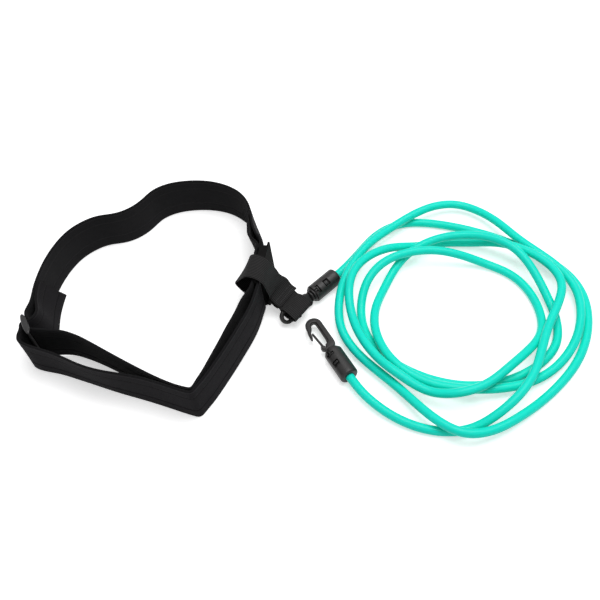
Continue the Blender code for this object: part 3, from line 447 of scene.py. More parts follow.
def make_piece(name, parts, look, body, node):
    """One object from parts, each with points in the plan, faces, a map of two lengths and
    perhaps a number at each point."""
    points = np.concatenate([part["points"] for part in parts])
    starts = np.cumsum([0] + [len(part["points"]) for part in parts]).tolist()
    faces = [
        tuple(start + v for v in face) for start, part in zip(starts, parts) for face in part["faces"]
    ]
    maps = np.concatenate([np.reshape(part["map"], (-1, 2)) for part in parts])
    outer = [part.get("outer", np.zeros(len(part["points"]))) for part in parts]
    mesh = bpy.data.meshes.new(name)
    mesh.from_pydata(((points - PLAN_ORIGIN) * MM).tolist(), [], faces)
    work = bmesh.new()
    work.from_mesh(mesh)
    bmesh.ops.recalc_face_normals(work, faces=work.faces)
    work.to_mesh(mesh)
    work.free()
    corner = np.empty(len(mesh.loops), dtype=np.int32)
    mesh.loops.foreach_get("vertex_index", corner)
    layer = mesh.uv_layers.new(name="UVMap")
    layer.data.foreach_set("uv", (maps[corner] * MM).astype(np.float32).ravel())
    side = mesh.attributes.new("outer", "FLOAT", "POINT")
    side.data.foreach_set("value", np.concatenate(outer).astype(np.float32))
    return add_piece(name, mesh, 38, look, body, node)


def round_edges(piece, width, angle):
    """Rounds a piece's edges past an angle by a width in millimetres."""
    bevel = piece.modifiers.new("Rounding", "BEVEL")
    bevel.width = width * MM
    bevel.segments = 2
    bevel.limit_method = "ANGLE"
    bevel.angle_limit = math.radians(angle)
    bevel.harden_normals = True
    bevel.miter_outer = "MITER_ARC"


def rounded_copy(node, name, look, body, width):
    """The node's own faces, merged, with every sharp edge rounded."""
    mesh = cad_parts[node].data.copy()
    mesh.name = name
    if "custom_normal" in mesh.attributes:
        mesh.attributes.remove(mesh.attributes["custom_normal"])
    work = bmesh.new()
    work.from_mesh(mesh)
    bmesh.ops.remove_doubles(work, verts=work.verts, dist=2e-6)
    bmesh.ops.dissolve_limit(
        work, angle_limit=math.radians(1.5), use_dissolve_boundaries=False,
        verts=work.verts, edges=work.edges,
    )
    work.to_mesh(mesh)
    work.free()
    round_edges(add_piece(name, mesh, 35, look, body, node), width, 40)


# Routes


def steps(points):
    return np.linalg.norm(np.diff(points, axis=0), axis=1)


def spline(rows, step):
    """Natural cubic spline through rows by the chords of their first three columns, read about
    every step."""
    rows = np.array(rows, dtype=float)
    chords = steps(rows[:, :3])
    count = len(rows)
    matrix = np.eye(count)
    target = np.zeros_like(rows)
    for i in range(1, count - 1):
        before, after = chords[i - 1], chords[i]
        matrix[i, i - 1: i + 2] = before, 2 * (before + after), after
        target[i] = 6 * ((rows[i + 1] - rows[i]) / after - (rows[i] - rows[i - 1]) / before)
    curving = np.linalg.solve(matrix, target)
    result = []
    for i, width in enumerate(chords):
        pieces = math.ceil(width / step)
        a = np.arange(pieces)[:, None] / pieces
        b = 1 - a
        bow = (b ** 3 - b) * curving[i] + (a ** 3 - a) * curving[i + 1]
        result.append(b * rows[i] + a * rows[i + 1] + bow * width ** 2 / 6)
    return np.concatenate(result + [rows[-1:]])


def travel_of(points):
    """Distances along a line."""
    return np.concatenate([[0], np.cumsum(steps(points))])


def read_at(places, travel, line):
    """Points of a line at distances along it."""
    return grid(*(np.interp(places, travel, column) for column in line.T))


def even(points, count):
    """The same line read at a number of equal steps."""
    travel = travel_of(points)
    return read_at(np.linspace(0, travel[-1], count), travel, points)


def arc(centre, radius, start, end, count):
    """Points of an arc, angles in degrees."""
    angles = np.radians(np.linspace(start, end, count))
    return [(centre[0] + radius * math.cos(a), centre[1] + radius * math.sin(a)) for a in angles]


def bend(centre, radius, start, end):
    """Points every 30 degrees or less of a bend in hardware's own coordinates."""
    return arc(centre, radius, start, end, max(2, math.ceil(abs(end - start) / 30) + 1))


def hardware_point(start, heading, x, side):
    """Plan point of a piece of hardware's own coordinates."""
    c, s = math.cos(heading), math.sin(heading)
    return (start[0] + x * c + side * s, start[1] + x * s - side * c)


def buckle_point(x, inward):
    return hardware_point(BUCKLE_START, BUCKLE_HEADING, x, inward)


def slider_point(x, outward):
    return hardware_point(SLIDER_CENTRE, SLIDER_HEADING, x, outward)


def own_frame(point, heading, roll, height=BARREL_DIAMETER / 2):
    """Frame with X along a heading in plan, turned about it, at a height."""
    matrix = Matrix.Rotation(heading, 4, "Z") @ Matrix.Rotation(roll, 4, "X")
    matrix.translation = (*point, height)
    return np.array(matrix)


# Stretch tube


def lies_over(first, second, angle):
    """Whether turn first lies over turn second at a compass angle of the coil."""
    pair = {first, second}
    if pair in ({2, 3}, {1, 5}) or (pair == {3, 5} and 30 < angle % 360 < 150):
        return first < second
    return first > second


def tube_heights(route, heights):
    """The heights given for the tube's route, with a long hump over each run it crosses."""
    parts = 8
    count = len(route)
    where = np.arange((count - 1) * parts + 1) / parts
    order = np.arange(count)
    weights = np.maximum(0, 1 - np.abs(where[:, None] - order))
    fine = weights @ route
    spacing = steps(route).mean()
    offset = fine - COIL_CENTRE
    angle = np.degrees(np.unwrap(np.arctan2(offset[:, 1], offset[:, 0])))
    angle += COIL_START - angle[0]
    turn = np.clip(1 + np.floor((COIL_START + 18 - angle) / 360).astype(int), 1, 5)
    reach = TUBE_DIAMETER + COIL_LIFT_GAP
    apart = np.linalg.norm(fine[:, None] - fine, axis=2)
    along = np.abs(where[:, None] - where) * spacing
    close = (apart < reach) & (along > 8 * TUBE_DIAMETER)
    need = np.sqrt(np.maximum(reach ** 2 - apart ** 2, 0))
    upper = np.zeros_like(close)
    for i, j in np.argwhere(close):
        upper[i, j] = lies_over(turn[i], turn[j], angle[i])
    away = np.abs(order[:, None] - order) * spacing / HUMP_HALF_LENGTH
    hump = np.where(away < 1, np.cos(np.pi / 2 * away) ** 2, 0)
    for _ in range(200):
        level = weights @ heights
        short = np.where(upper, level + need - level[:, None], 0).max(axis=1)
        if short.max() < 0.02:
            break
        lack = np.where(weights > 0, short[:, None], 0).max(axis=0)
        heights = heights + (lack * hump).max(axis=1)
    return heights


def tube_line():
    """Middle line of the tube from barrel to barrel, point for point that of the part."""
    ends = []
    for end, heading in ((END_1, END_1_HEADING), (END_2, END_2_HEADING)):
        axis = own_frame(end, heading, 0)[:2, [0, 3]]
        ends.append([axis @ (x - BARREL_LENGTH, 1) for x in (TUBE_INSERTION, 0, -TUBE_DIAMETER)])
    first, last = ends
    reaches = sum(COIL_REACH, ())
    knots = list(first)
    for i, reach in enumerate(reaches[1:], 1):
        angle = COIL_START - i * 360 / COIL_DIRECTIONS
        knots += arc(COIL_CENTRE, reach, angle, angle, 1)
    turns = len(reaches) / COIL_DIRECTIONS
    points = even(spline(knots + last[::-1], 4), round(turns * COIL_POINTS_PER_TURN))
    clear = TUBE_INSERTION + TUBE_DIAMETER + 8
    body = [p for p in points if min(math.dist(p, end[0]) for end in ends) > clear]
    plan = np.array([first[0], first[2], *body, last[2], last[0]])
    heights = np.full(len(plan), TUBE_DIAMETER / 2)
    travel = travel_of(plan)
    for distance in (travel, travel[-1] - travel):
        ease = np.clip((distance - TUBE_INSERTION - TUBE_DIAMETER - 2) / 90, 0, 1)
        ease = ease * ease * (3 - 2 * ease)
        level = BARREL_DIAMETER / 2 * (1 - ease) + TUBE_DIAMETER / 2 * ease
        heights = np.maximum(heights, level)
    heights = tube_heights(plan, heights)
    heights[:2] = heights[-2:] = BARREL_DIAMETER / 2
    return np.column_stack([plan, heights])


def make_tube(line):
    """Round tube: a circle carried along a smooth line. The map gives the distance along it
    and round the circle."""
    radius = TUBE_DIAMETER / 2
    fine = spline(line, 3.2)
    fine[:, 2] = np.maximum(fine[:, 2], radius)
    tangent = unit(np.gradient(fine, axis=0))
    side = unit(np.cross(tangent, (0, 0, 1)))
    rings, angle = circles(fine, side, np.cross(side, tangent), radius, 28)
    around = np.abs(angle - np.pi) * radius
    form = ring_form(rings, map=grid(travel_of(fine)[:, None], around))
    piece = make_piece("stretch_tube", [form], latex_look, "tether", "tether_tube")
    return piece, (fine - PLAN_ORIGIN) * MM


# Straps


def strap_stations():
    """Route of the strap as rows of x, y, lean, lift and slant."""
    half = STRAP_THICKNESS / 2
    pitch = STRAP_THICKNESS + LAYER_GAP
    face = BUCKLE_THICKNESS / 2
    main_side = face + 0.5 + half
    fold_side = main_side + pitch
    behind_bar = face - FEMALE_BAR_DEPTH - 0.35 - half
    turn = (fold_side - behind_bar) / 2
    over_bar = SLIDER_THICKNESS / 2 + 0.5 + half
    wide = over_bar + pitch
    male_turn = MALE_PLATE / 2 + 0.35 + half
    rows = []

    def local(place, lift, points):
        rows.extend((*place(x, side), 0, lift, 0) for x, side in points)

    def plan(lift, *points, slant=0):
        for x, y, *lean in points:
            rows.append((x, y, sum(lean), lift, slant))

    # Sewn end that folds round the bar of the female half
    plan(0.6, (-121.9, 110.6, -2.2))
    plan(1.6, (-118.3, 98, -3.4), (-116, 84, -3.8))
    plan(3, (-115.2, 71, -3.6))
    plan(BUCKLE_LIFT, (-113.3, 59.5, -3.4))
    local(
        buckle_point, BUCKLE_LIFT,
        [(3, fold_side + 0.3)]
        + bend((WINDOW_B, fold_side - turn), turn, 90, -90)
        + bend((BAR_START, behind_bar + 2.6), 2.6, -90, -150)
        + bend((WINDOW_A - 0.2, main_side - 2.2), 2.2, 30, 90)
        + [(0, main_side)],
    )
    # Back band, round to the left side
    plan(3, (-107.6, 64, 2))
    plan(1.6, (-112.2, 86, 3.4))
    plan(0.6, (-117, 107, 2.2))
    plan(
        0, (-128, 126), (-143, 140), (-166, 150.5), (-194, 154), (-219, 150), (-232.5, 142),
        (-243.5, 128.5), (-257, 116.5), (-273, 110), (-292, 107.5), (-308, 100.5), (-322, 88.5),
        (-333.4, 70), (-341, 49), (-345.2, 27), (-346.6, 6),
    )
    plan(1.6, (-346.6, -12))
    # Through the first slot of the slider, over its middle bar and out to the bulge
    slant = math.radians(55)
    crossing = (wide + over_bar - (wide + 2) * (1 - math.cos(slant))) / math.sin(slant)
    entry = -0.95 - (wide + 2) * math.sin(slant) - crossing * math.cos(slant)
    local(
        slider_point, SLIDER_LIFT,
        [(-14.2, -over_bar - 0.1)]
        + bend((entry, -over_bar + 2), 2, -90, -35)
        + bend((-1.1, 0), wide, 145, 90),
    )
    plan(2.6, (-350.6, -51.5))
    plan(1.6, (-350, -57), (-344.5, -62))
    plan(
        0, (-327, -68.4, -1), (-302, -79, -2), (-283, -88.4, -3.1), (-261.6, -97.5, -2.8),
        (-222, -110.8, -0.4), (-190, -124.2), (-175, -130.5), (-169, -131.5), (-165, -127.5),
        (-157.5, -117), (-143, -92.5),
    )
    plan(TETHER_LIFT * 0.6, (-133, -75))
    plan(TETHER_LIFT, (-125, -60), (-115.6, -40))
    plan(TETHER_LIFT + 1.2, (-109.4, -22))
    # Round the bar of the male half
    local(
        buckle_point, BUCKLE_LIFT,
        [(SLOT_START + 13, -male_turn + 0.2)]
        + bend((SLOT_END, 0), male_turn, 270, 90)
        + [(SLOT_START + 13, male_turn + 0.4)],
    )
    # Inner layer back to the slider
    plan(TETHER_LIFT + 1.2, (-120.6, -24))
    plan(TETHER_LIFT, (-128.4, -42), (-136, -59))
    plan(TETHER_LIFT * 0.6, (-142.6, -74))
    plan(
        0, (-151, -92), (-159.5, -111), (-165.5, -122.5), (-169.3, -127.6), (-174.5, -127),
        (-197.5, -116.8), (-227.6, -96.4, 1.8), (-258.6, -75, 2.4), (-278.2, -62.4, 1.8),
        (-295, -53.2, 1.2),
    )
    plan(1.6, (-309.2, -48.6, 1.2))
    plan(SLIDER_LIFT, (-322, -47.8, 0.8), (-333, -46.6))
    # Round the middle bar of the slider
    middle_bar = bend((1.1, 0), over_bar, 18, 90) + bend((-1.1, 0), over_bar, 90, 162)
    local(slider_point, SLIDER_LIFT, middle_bar)
    # Free end along the inside of the left band
    plan(SLIDER_LIFT, (-339.6, -31.6))
    plan(1.6, (-335.4, -22, 2))
    plan(0.4, (-337.2, -8, 4))
    plan(0.2, (-338.8, 6, 4.5), slant=3)
    plan(0.2, (-338.4, 21, 4.5), slant=10)
    plan(0.2, (-337, 36, 4.5), slant=19)
    return rows


def strap_edges():
    """Bottom and top edge of the strap along its route."""
    rows = spline(strap_stations(), 2.6)
    lift = np.maximum(rows[:, 3], 0)
    along = unit(np.gradient(rows[:, :2], axis=0))
    shift = left_of(along) * rows[:, 2:3]
    top = rows[:, :2] + shift - along * rows[:, 4:]
    return np.column_stack([rows[:, :2] - shift, lift]), np.column_stack([top, lift + STRAP_WIDTH])


def band(low, high, thickness, count, relief, edge):
    """A woven band between two edge lines: half its thickness plus a relief across it falls to
    nothing at both edges as a root. The map gives the length along and the place across."""
    middle = (low + high) / 2
    across = high - low
    width = np.linalg.norm(across, axis=1).mean()
    normal = unit(np.cross(np.gradient(middle, axis=0), across))
    spread = np.linspace(-1, 1, count)
    back = np.arange(1, count - 1)[::-1]
    place = (spread + 1) / 2
    depth = np.clip(width / 2 * (1 - np.abs(spread)) / edge, 0, 1)
    height = (thickness / 2 + relief(place * width)) * np.sqrt(np.clip(1 - (1 - depth) ** 2, 0, 1))
    shares = np.concatenate([place, place[back]])
    heights = np.concatenate([height, -height[back]])
    facing = (1 + np.sign(heights)) / 2
    points = low[:, None] + across[:, None] * shares[:, None] + normal[:, None] * heights[:, None]
    rows, columns = points.shape[:2]
    faces = ring_faces(rows, columns)
    for first in (0, (rows - 1) * columns):
        for j in range(count - 1):
            quad = (j, j + 1, columns - j - 1, (columns - j) % columns)
            faces.append(tuple(dict.fromkeys(first + v for v in quad)))
    return {
        "points": points.reshape(-1, 3), "faces": faces, "outer": np.tile(facing, rows),
        "map": grid(travel_of(middle)[:, None], shares * width),
    }


def hem(place):
    """Folded hems: a step out from each edge, with the sewn line pulled in beside."""
    from_edge = np.minimum(place, STRAP_WIDTH - place)
    step = 1 / (1 + np.exp((from_edge - HEM_DEPTH) / 0.35))
    bead = np.exp(-((from_edge - 1.5) / 0.8) ** 2)
    groove = np.exp(-((from_edge - HEM_DEPTH - 0.9) / 0.55) ** 2)
    return HEM_HEIGHT * (step + 0.35 * bead - 1.5 * groove)


def tether_rows():
    """Rows of x, y, z and the yaw of the width in degrees, for the big loop round the belt and
    the small loop through the hook, and the places of the sewn end."""
    half = WEBBING_THICKNESS / 2
    top = 2 * BUCKLE_MIDDLE - WEBBING_THICKNESS - FIT
    pitch = WEBBING_THICKNESS + LAYER_GAP
    yaw = math.radians(STACK_YAW)
    across = (math.cos(yaw), math.sin(yaw))

    def section(side, z, turn, forward):
        return (*buckle_point(TETHER_AT + forward + side * TETHER_SLANT, -side), z, turn)

    def sewn(back, layer, aside=0):
        return (
            STACK_END[0] + across[1] * back + across[0] * aside,
            STACK_END[1] - across[0] * back + across[1] * aside,
            STACK_LIFT + layer * pitch + back * STACK_SLOPE, STACK_YAW,
        )

    def eye(side, z, turn=-134):
        return (*hardware_point(END_1, END_1_HEADING, EYE_DISTANCE, -side), z, turn)

    big = [
        sewn(5, -0.1), sewn(9.6, -0.1), sewn(13.2, 0.9),
        *(section(*row) for row in (
            (15.4, 18.6, -119, -1.5), (12.8, 17.6, -111, -3.6), (10.8, 12.6, -105, -5.4),
            (9.4, 6.6, -103, -6.6), (7.2, 1.6, -102, -7.5), (0, half, -102, -8),
            (-7, half, -103, -8), (-12.6, 2.2, -104, -7.5), (-16.6, 7.6, -108, -6),
            (-19.8, 15.6, -114, -4), (-22.4, 24.5, -119, -2), (-23, 31, -121, -0.5),
            (-21, 38, -117, 1), (-17, 46.5, -109, 2), (-12.8, 54, -104, 3),
            (-7.4, top + 0.6, -102.5, 3.5), (-2, top + 1.6, -102, 3.5),
            (3.4, top + 1.5, -102, 3.5), (8.2, 56, -103, 3), (11.6, 48, -105, 2),
            (13.9, 39, -109, 1), (16.4, 31.5, -115, 0),
        )),
        sewn(14, 6.1), sewn(8, 3.4), sewn(0.6, 3),
    ]
    lap = (WEBBING_WIDTH - END_LOOP_WIDTH) / 2
    small = [
        sewn(9, 1, lap), sewn(6, 1, lap), sewn(3, 1, lap), eye(-7.6, 11),
        eye(-3.2, 8.7), eye(2, 9), eye(6.5, 11.2), eye(10.4, 13.2, -131),
        eye(13.4, 15.4, -129), eye(13.2, 17.9, -129), eye(9.5, 19.4, -131),
        eye(3, 20.3), eye(-3.4, 19.4), eye(-8.2, 16.4, -130),
        sewn(1.4, 2, lap), sewn(4.6, 2, lap), sewn(9, 2, lap),
    ]
    return big, small, sewn


def make_webbing(name, rows, width, node):
    """A loop of webbing along its rows, with rounded ribs side by side."""
    path = spline(rows, 1.6)
    path[:, 2] = np.maximum(path[:, 2], WEBBING_THICKNESS / 2)
    yaw = np.radians(path[:, 3])
    across = grid(np.cos(yaw), np.sin(yaw), 0) * width / 2
    low, high = path[:, :3] - across, path[:, :3] + across

    def ribs(place):
        return RIB_HEIGHT * (np.abs(np.sin(np.pi * (place - width / 2) / RIB_PITCH)) - 0.6)

    count = 1 + 6 * round(width / RIB_PITCH)
    part = band(low, high, WEBBING_THICKNESS - 0.16, count, ribs, 0.8)
    make_piece(name, [part], webbing_look, "tether", node)
    return low, high


def stitch(centre, along, up, length):
    """A short thread whose ends dip into the cloth: circles that shrink as a root, carried
    along a parabola."""
    s = np.linspace(-1, 1, 7)[:, None]
    line = centre + along * s * length / 2 + up * STITCH_RADIUS * 0.9 * (1 - s ** 2)
    thick = STITCH_RADIUS * np.sqrt(np.maximum(1 - s ** 4, 0.05))
    rings, angle = circles(line, np.cross(up, along), up, thick, 8)
    return ring_form(rings, map=grid(s * length / 2, angle * STITCH_RADIUS))


def stitched_row(name, low, high, at, face, rows, inset, body, node, zigzag=0):
    """Rows of stitches across a band's inner face, at distances along it from a point."""
    middle = (low + high) / 2
    travel = travel_of(middle)
    centre = travel[np.argmin(np.linalg.norm(middle[:, :2] - at, axis=1))]
    parts = []
    for row in rows:
        foot, head = (read_at(centre + row, travel, line) for line in (low, high))
        width = np.linalg.norm(head - foot)
        across = (head - foot) / width
        along = unit(read_at(centre + row + 0.5, travel, middle) - (foot + head) / 2)
        up = unit(np.cross(across, along))
        count = int((width - 2 * inset) // STITCH_PITCH)
        start = (width - (count - 1) * STITCH_PITCH) / 2
        for i in range(count):
            spot = foot + across * (start + i * STITCH_PITCH) + up * face
            run = unit(across + along * zigzag * (1 if i % 2 else -1))
            parts.append(stitch(spot, run, up, STITCH_PITCH * 0.82 * math.hypot(1, zigzag)))
    make_piece(name, parts, thread_look, body, node)


# End fittings


def spun(x, radius, angle):
    """Points at each x and radius, turned about the X axis by each angle."""
    x, radius = np.reshape(x, (-1, 1)), np.reshape(radius, (-1, 1))
    return grid(x, radius * np.cos(angle), radius * np.sin(angle))


def turned(profile, sides):
    """A profile of x and radius turned about the X axis, closed at both ends."""
    x, radius = np.array(profile, dtype=float).T
    return ring_form(spun(x, np.maximum(radius, 1e-3), full_turn(sides)))


def cross_2d(a, b):
    return a[..., 0] * b[..., 1] - a[..., 1] * b[..., 0]


def room_inside(line, inward):
    """How far each point of an outline may move inwards: under half the way to the far side and
    under the radius of its own bend, evened out."""
    boundless = 99
    run = np.roll(line, -1, axis=0) - line
    away = line - line[:, None]
    crossed = cross_2d(inward[:, None], run)
    crossed = np.where(np.abs(crossed) < 1e-9, 1e-9, crossed)
    depth = cross_2d(away, run) / crossed
    share = cross_2d(away, inward[:, None]) / crossed
    met = (depth > 0.3) & (share >= 0) & (share <= 1)
    room = 0.4 * np.where(met, depth, boundless).min(axis=1)
    before = np.roll(run, 1, axis=0)
    turning = np.arctan2(cross_2d(before, run), (before * run).sum(axis=1))
    radius = np.linalg.norm(run, axis=1) / np.maximum(turning, 1e-3)
    room = np.minimum(room, np.where(turning > 1e-3, 0.8 * radius, boundless))
    for _ in range(3):
        room = np.minimum(room, np.minimum(np.roll(room, 1), np.roll(room, -1)) + 0.15)
    for _ in range(3):
        room = np.minimum(room, (np.roll(room, 1) + room + np.roll(room, -1)) / 3)
    return room


def crowned_plate(outline, half, rim, spacing, passes):
    """A plate with rounded rims: its outline, read at even steps and softened, is carried over
    a quarter circle at each face, and inwards by less where there is less room."""
    closed = np.array([*outline, outline[0]], dtype=float)
    line = even(closed, round(travel_of(closed)[-1] / spacing) + 1)[:-1]
    for _ in range(passes):
        line = (np.roll(line, 1, axis=0) + 2 * line + np.roll(line, -1, axis=0)) / 4
    if cross_2d(line, np.roll(line, -1, axis=0)).sum() < 0:
        line = line[::-1]
    tangent = unit(np.roll(line, -1, axis=0) - np.roll(line, 1, axis=0))
    inward = left_of(tangent)
    room = np.minimum(room_inside(line, inward), rim)
    turn = np.linspace(0, np.pi / 2, 5)
    inset = np.concatenate([1 - np.cos(turn[::-1]), 1 - np.cos(turn)])
    height = half - rim + rim * np.sin(turn)
    height = np.concatenate([-height[::-1], height])
    ring = line + inward * (inset[:, None] * room)[..., None]
    return ring_form(grid(ring[..., 0], ring[..., 1], height[:, None]))


def hook_outlines(stout):
    """Outlines of the snap hook, with its leg, bow and nose stouter by a length on each side,
    and of a thin web inside its leg and bow."""
    outer, inner = HOOK_BOW_RADIUS + stout, HOOK_BOW_RADIUS - HOOK_LEG_WIDTH - stout
    base = FLANGE_THICKNESS + FIT + COLLAR_THICKNESS
    hook = (
        [(base, -4.4), (8, -6.8 - stout), (12, -7.6 - stout)]
        + arc(HOOK_BOW_CENTRE, outer, -90, 96, 15)
        + [
            (34.6, 10.2 + stout), (28.6, 11 + stout), (26 - stout, 11 + stout),
            (25.6 - stout, 9.9), (27.4, 8.9), (33, 8.2 - 0.4 * stout), (36, 6.6 - stout),
        ]
        + arc(HOOK_BOW_CENTRE, inner, 110, -90, 13)
        + [(16, -3.4 + stout), (13.6, -2.4 + stout), (12.4, 0.4), (12.4, 1.7)]
        + arc(GATE_PIVOT, GATE_PIVOT_RADIUS + FIT, -76, -296, 14)
        + [(12.4, 7.64), (11.4, 8.5), (8.2, 8.5), (base, 5.6)]
    )
    web = (
        [(14, -4.6), (38, -4.6)] + arc(HOOK_BOW_CENTRE, inner + 1.2, -80, 60, 9)
        + arc(HOOK_BOW_CENTRE, inner - 0.9, 60, -70, 8) + [(36, -1.7), (18, -1.3), (14.4, -0.6)]
    )
    return hook, web


def hook_shaft():
    """Profile of the hook's shaft, head and collar."""
    shank, head, collar = SHANK_DIAMETER / 2, HEAD_DIAMETER / 2, COLLAR_DIAMETER / 2
    back = -INSERT_FRONT_WALL - FIT
    tail = back - HEAD_THICKNESS
    front = FIT + FLANGE_THICKNESS + FIT
    end = front + COLLAR_THICKNESS
    return [
        (tail, 0), (tail, head - 1.2), (tail + 0.5, head - 0.4), (tail + 1.2, head),
        (back - 0.3, head), (back, head - 0.3), (back, shank), (front, shank),
        (front, collar - 0.6), (front + 0.2, collar - 0.2), (front + 0.6, collar),
        (end - 0.6, collar), (end - 0.2, collar - 0.2), (end, collar - 0.6),
        (end + 0.9, shank), (end + 1.2, 0),
    ]


def gate_outline(stout):
    """Outline of the gate: a knuckle and a slim bar to the nose, stouter by a length."""
    px, py = GATE_PIVOT
    x, y = GATE_TIP[0] - px, GATE_TIP[1] - py
    lean, length = math.atan2(y, x), math.hypot(x, y)
    half = (GATE_WIDTH + stout) / 2
    corners = [(1.4, half), (length, half * 0.8), (length, -half * 0.8), (1.4, -half)]
    bar = [hardware_point(GATE_PIVOT, lean, *corner) for corner in corners]
    degrees = math.degrees(lean)
    return bar + arc(GATE_PIVOT, GATE_PIVOT_RADIUS, degrees + 32, degrees + 328, 16)


def barrel_skins():
    """Barrel wall: two skins on one grid of stations and angles, joined at both rims and round
    the windows and slots."""
    outer, tail = BARREL_DIAMETER / 2, -BARREL_LENGTH
    cuts = [
        (low, high, math.degrees(math.asin(width / 2 / outer)))
        for low, high, width in (
            (-WINDOW_START - WINDOW_LENGTH, -WINDOW_START, WINDOW_WIDTH),
            (-NOTCH_DEPTH, 1, NOTCH_WIDTH),
            (-NOTCH_DEPTH - 0.1, -NOTCH_DEPTH + NOTCH_CROSS_LENGTH, NOTCH_CROSS_WIDTH),
        )
    ]
    marks = {x for low, high, _ in cuts for x in (low, high) if x < 0}
    rim = [tail + BARREL_EDGE * (1 - math.sin(a)) for a in np.radians((90, 70, 50, 30, 10))]
    plain = [x for x in np.arange(-31, -1, 1.5) if min(abs(x - m) for m in marks) > 0.7]
    lip = [tail + BARREL_LIP, tail + BARREL_LIP + 2]
    x = np.array(sorted({0, -0.25, -0.8, *marks, *rim, *plain, *lip}))
    depth = np.clip((tail + BARREL_EDGE - x) / BARREL_EDGE, 0, 1)
    r_out = outer - BARREL_EDGE * (1 - np.sqrt(1 - depth ** 2))
    r_out -= 0.5 * np.clip((x + 0.8) / 0.8, 0, 1) ** 2
    special = [p + s * half for p in (90, 270) for s in (1, -1) for _, _, half in cuts]
    even_turn = [a for a in np.arange(0, 360, 5) if min(abs(a - m) for m in special) > 2]
    angle = np.array(sorted(special + even_turn))
    r_in = np.interp(x, lip, [TUBE_DIAMETER / 2 + FIT, BARREL_BORE / 2])
    skins = [spun(x, radius, np.radians(angle)) for radius in (r_out, r_in)]
    mid_x = (x[1:] + x[:-1])[:, None] / 2
    mid_a = (angle + np.append(angle[1:], angle[0] + 360)) / 2
    from_pole = np.abs(mid_a % 180 - 90)
    hole = np.any(
        [(mid_x > low) & (mid_x < high) & (from_pole < half) for low, high, half in cuts], axis=0
    )
    kept = np.array(ring_faces(len(x), len(angle)))[~hole.ravel()]
    total = len(x) * len(angle)
    # Edges that only one kept face has are rims: each gets a wall from skin to skin
    edges = np.concatenate([kept[:, [k, (k + 1) % 4]] for k in range(4)])
    _, where, times = np.unique(np.sort(edges, axis=1), axis=0, return_index=True, return_counts=True)
    a, b = edges[where[times == 1]].T
    walls = np.column_stack([b, a, a + total, b + total])
    faces = kept.tolist() + (kept[:, ::-1] + total).tolist() + walls.tolist()
    return drop_loose(np.concatenate(skins).reshape(-1, 3), faces)


def drop_loose(points, faces):
    """A part of points and faces without the points that no face uses."""
    used = sorted({v for face in faces for v in face})
    index = {v: i for i, v in enumerate(used)}
    return {"points": points[used], "faces": [tuple(index[v] for v in face) for face in faces]}


def pebble(centre, half, power, rows=17, columns=28):
    """A form between a ball and a box, by a power for its outline and one for its crown."""
    lift = np.linspace(-np.pi / 2, np.pi / 2, rows)[:, None]
    turn = full_turn(columns)

    def bent(value, power):
        return np.sign(value) * np.abs(value) ** (2 / power)

    level = bent(np.cos(lift), power[1])
    x, y = level * bent(np.cos(turn), power[0]), level * bent(np.sin(turn), power[0])
    points = grid(x, y, bent(np.sin(lift), power[1])).reshape(-1, 3) * half + centre
    # The first row and the last are one point each
    last = (rows - 1) * columns
    faces = [
        tuple(dict.fromkeys(0 if v < columns else min(v, last) for v in face))
        for face in ring_faces(rows, columns)
    ]
    return drop_loose(points, faces)


def sleeve_parts():
    """The swivel insert: a turned sleeve, a latch tab in each window and a lug in each slot."""
    radius = BARREL_BORE / 2 - FIT
    flange = FLANGE_DIAMETER / 2
    shank, head = SHANK_DIAMETER / 2 + FIT, HEAD_DIAMETER / 2 + FIT
    front = FIT + FLANGE_THICKNESS
    profile = [
        (front, shank), (front, flange - 0.5), (front - 0.15, flange - 0.15), (front - 0.5, flange),
        (FIT + 0.3, flange), (FIT, flange - 0.3), (FIT, radius), (-INSERT_LENGTH, radius),
        (-INSERT_LENGTH, head), (-INSERT_FRONT_WALL, head), (-INSERT_FRONT_WALL, shank),
    ]
    parts = [turned(profile, 48)]
    parts[0]["faces"] = ring_faces(len(profile), 48, loop=True)
    middle = -WINDOW_START - WINDOW_LENGTH / 2
    for side in (1, -1):
        level = side * (radius + 0.2)
        for x, aside, length, width, power in (
            (middle + 1.3, 0, 1.5, 2.9, 5), (-5.2, 0.7, 1.1, 3.3, 5), (-2.3, 0.4, 2.3, 1.35, 6),
        ):
            parts.append(pebble((x, -side * aside, level), (length, width, 1.9), (power, 2.6)))
    return parts


def slider_parts():
    """The slider's three rounded bars, and a leaf-shaped cheek at each end of them."""
    reach = SLIDER_SLOT + SLIDER_BAR
    half = SLIDER_HEIGHT / 2
    bar = (SLIDER_BAR / 2, half - 1, SLIDER_THICKNESS / 2)
    cheek = (reach + SLIDER_BAR / 2, 1.9, 3.1)
    bars = [pebble((x, 0, 0), bar, (8, 3), 13, 32) for x in (-reach, 0, reach)]
    return bars + [pebble((0, y, 0), cheek, (2.7, 2.2), 17, 48) for y in (half - 1.25, 1.9 - half)]


def in_frame(parts, matrix):
    """Parts whose points are moved into the plan, mapped by their own length and side."""
    for part in parts:
        part["map"] = part["points"][:, :2]
        part["points"] = part["points"] @ matrix[:3, :3].T + matrix[:3, 3]
    return parts


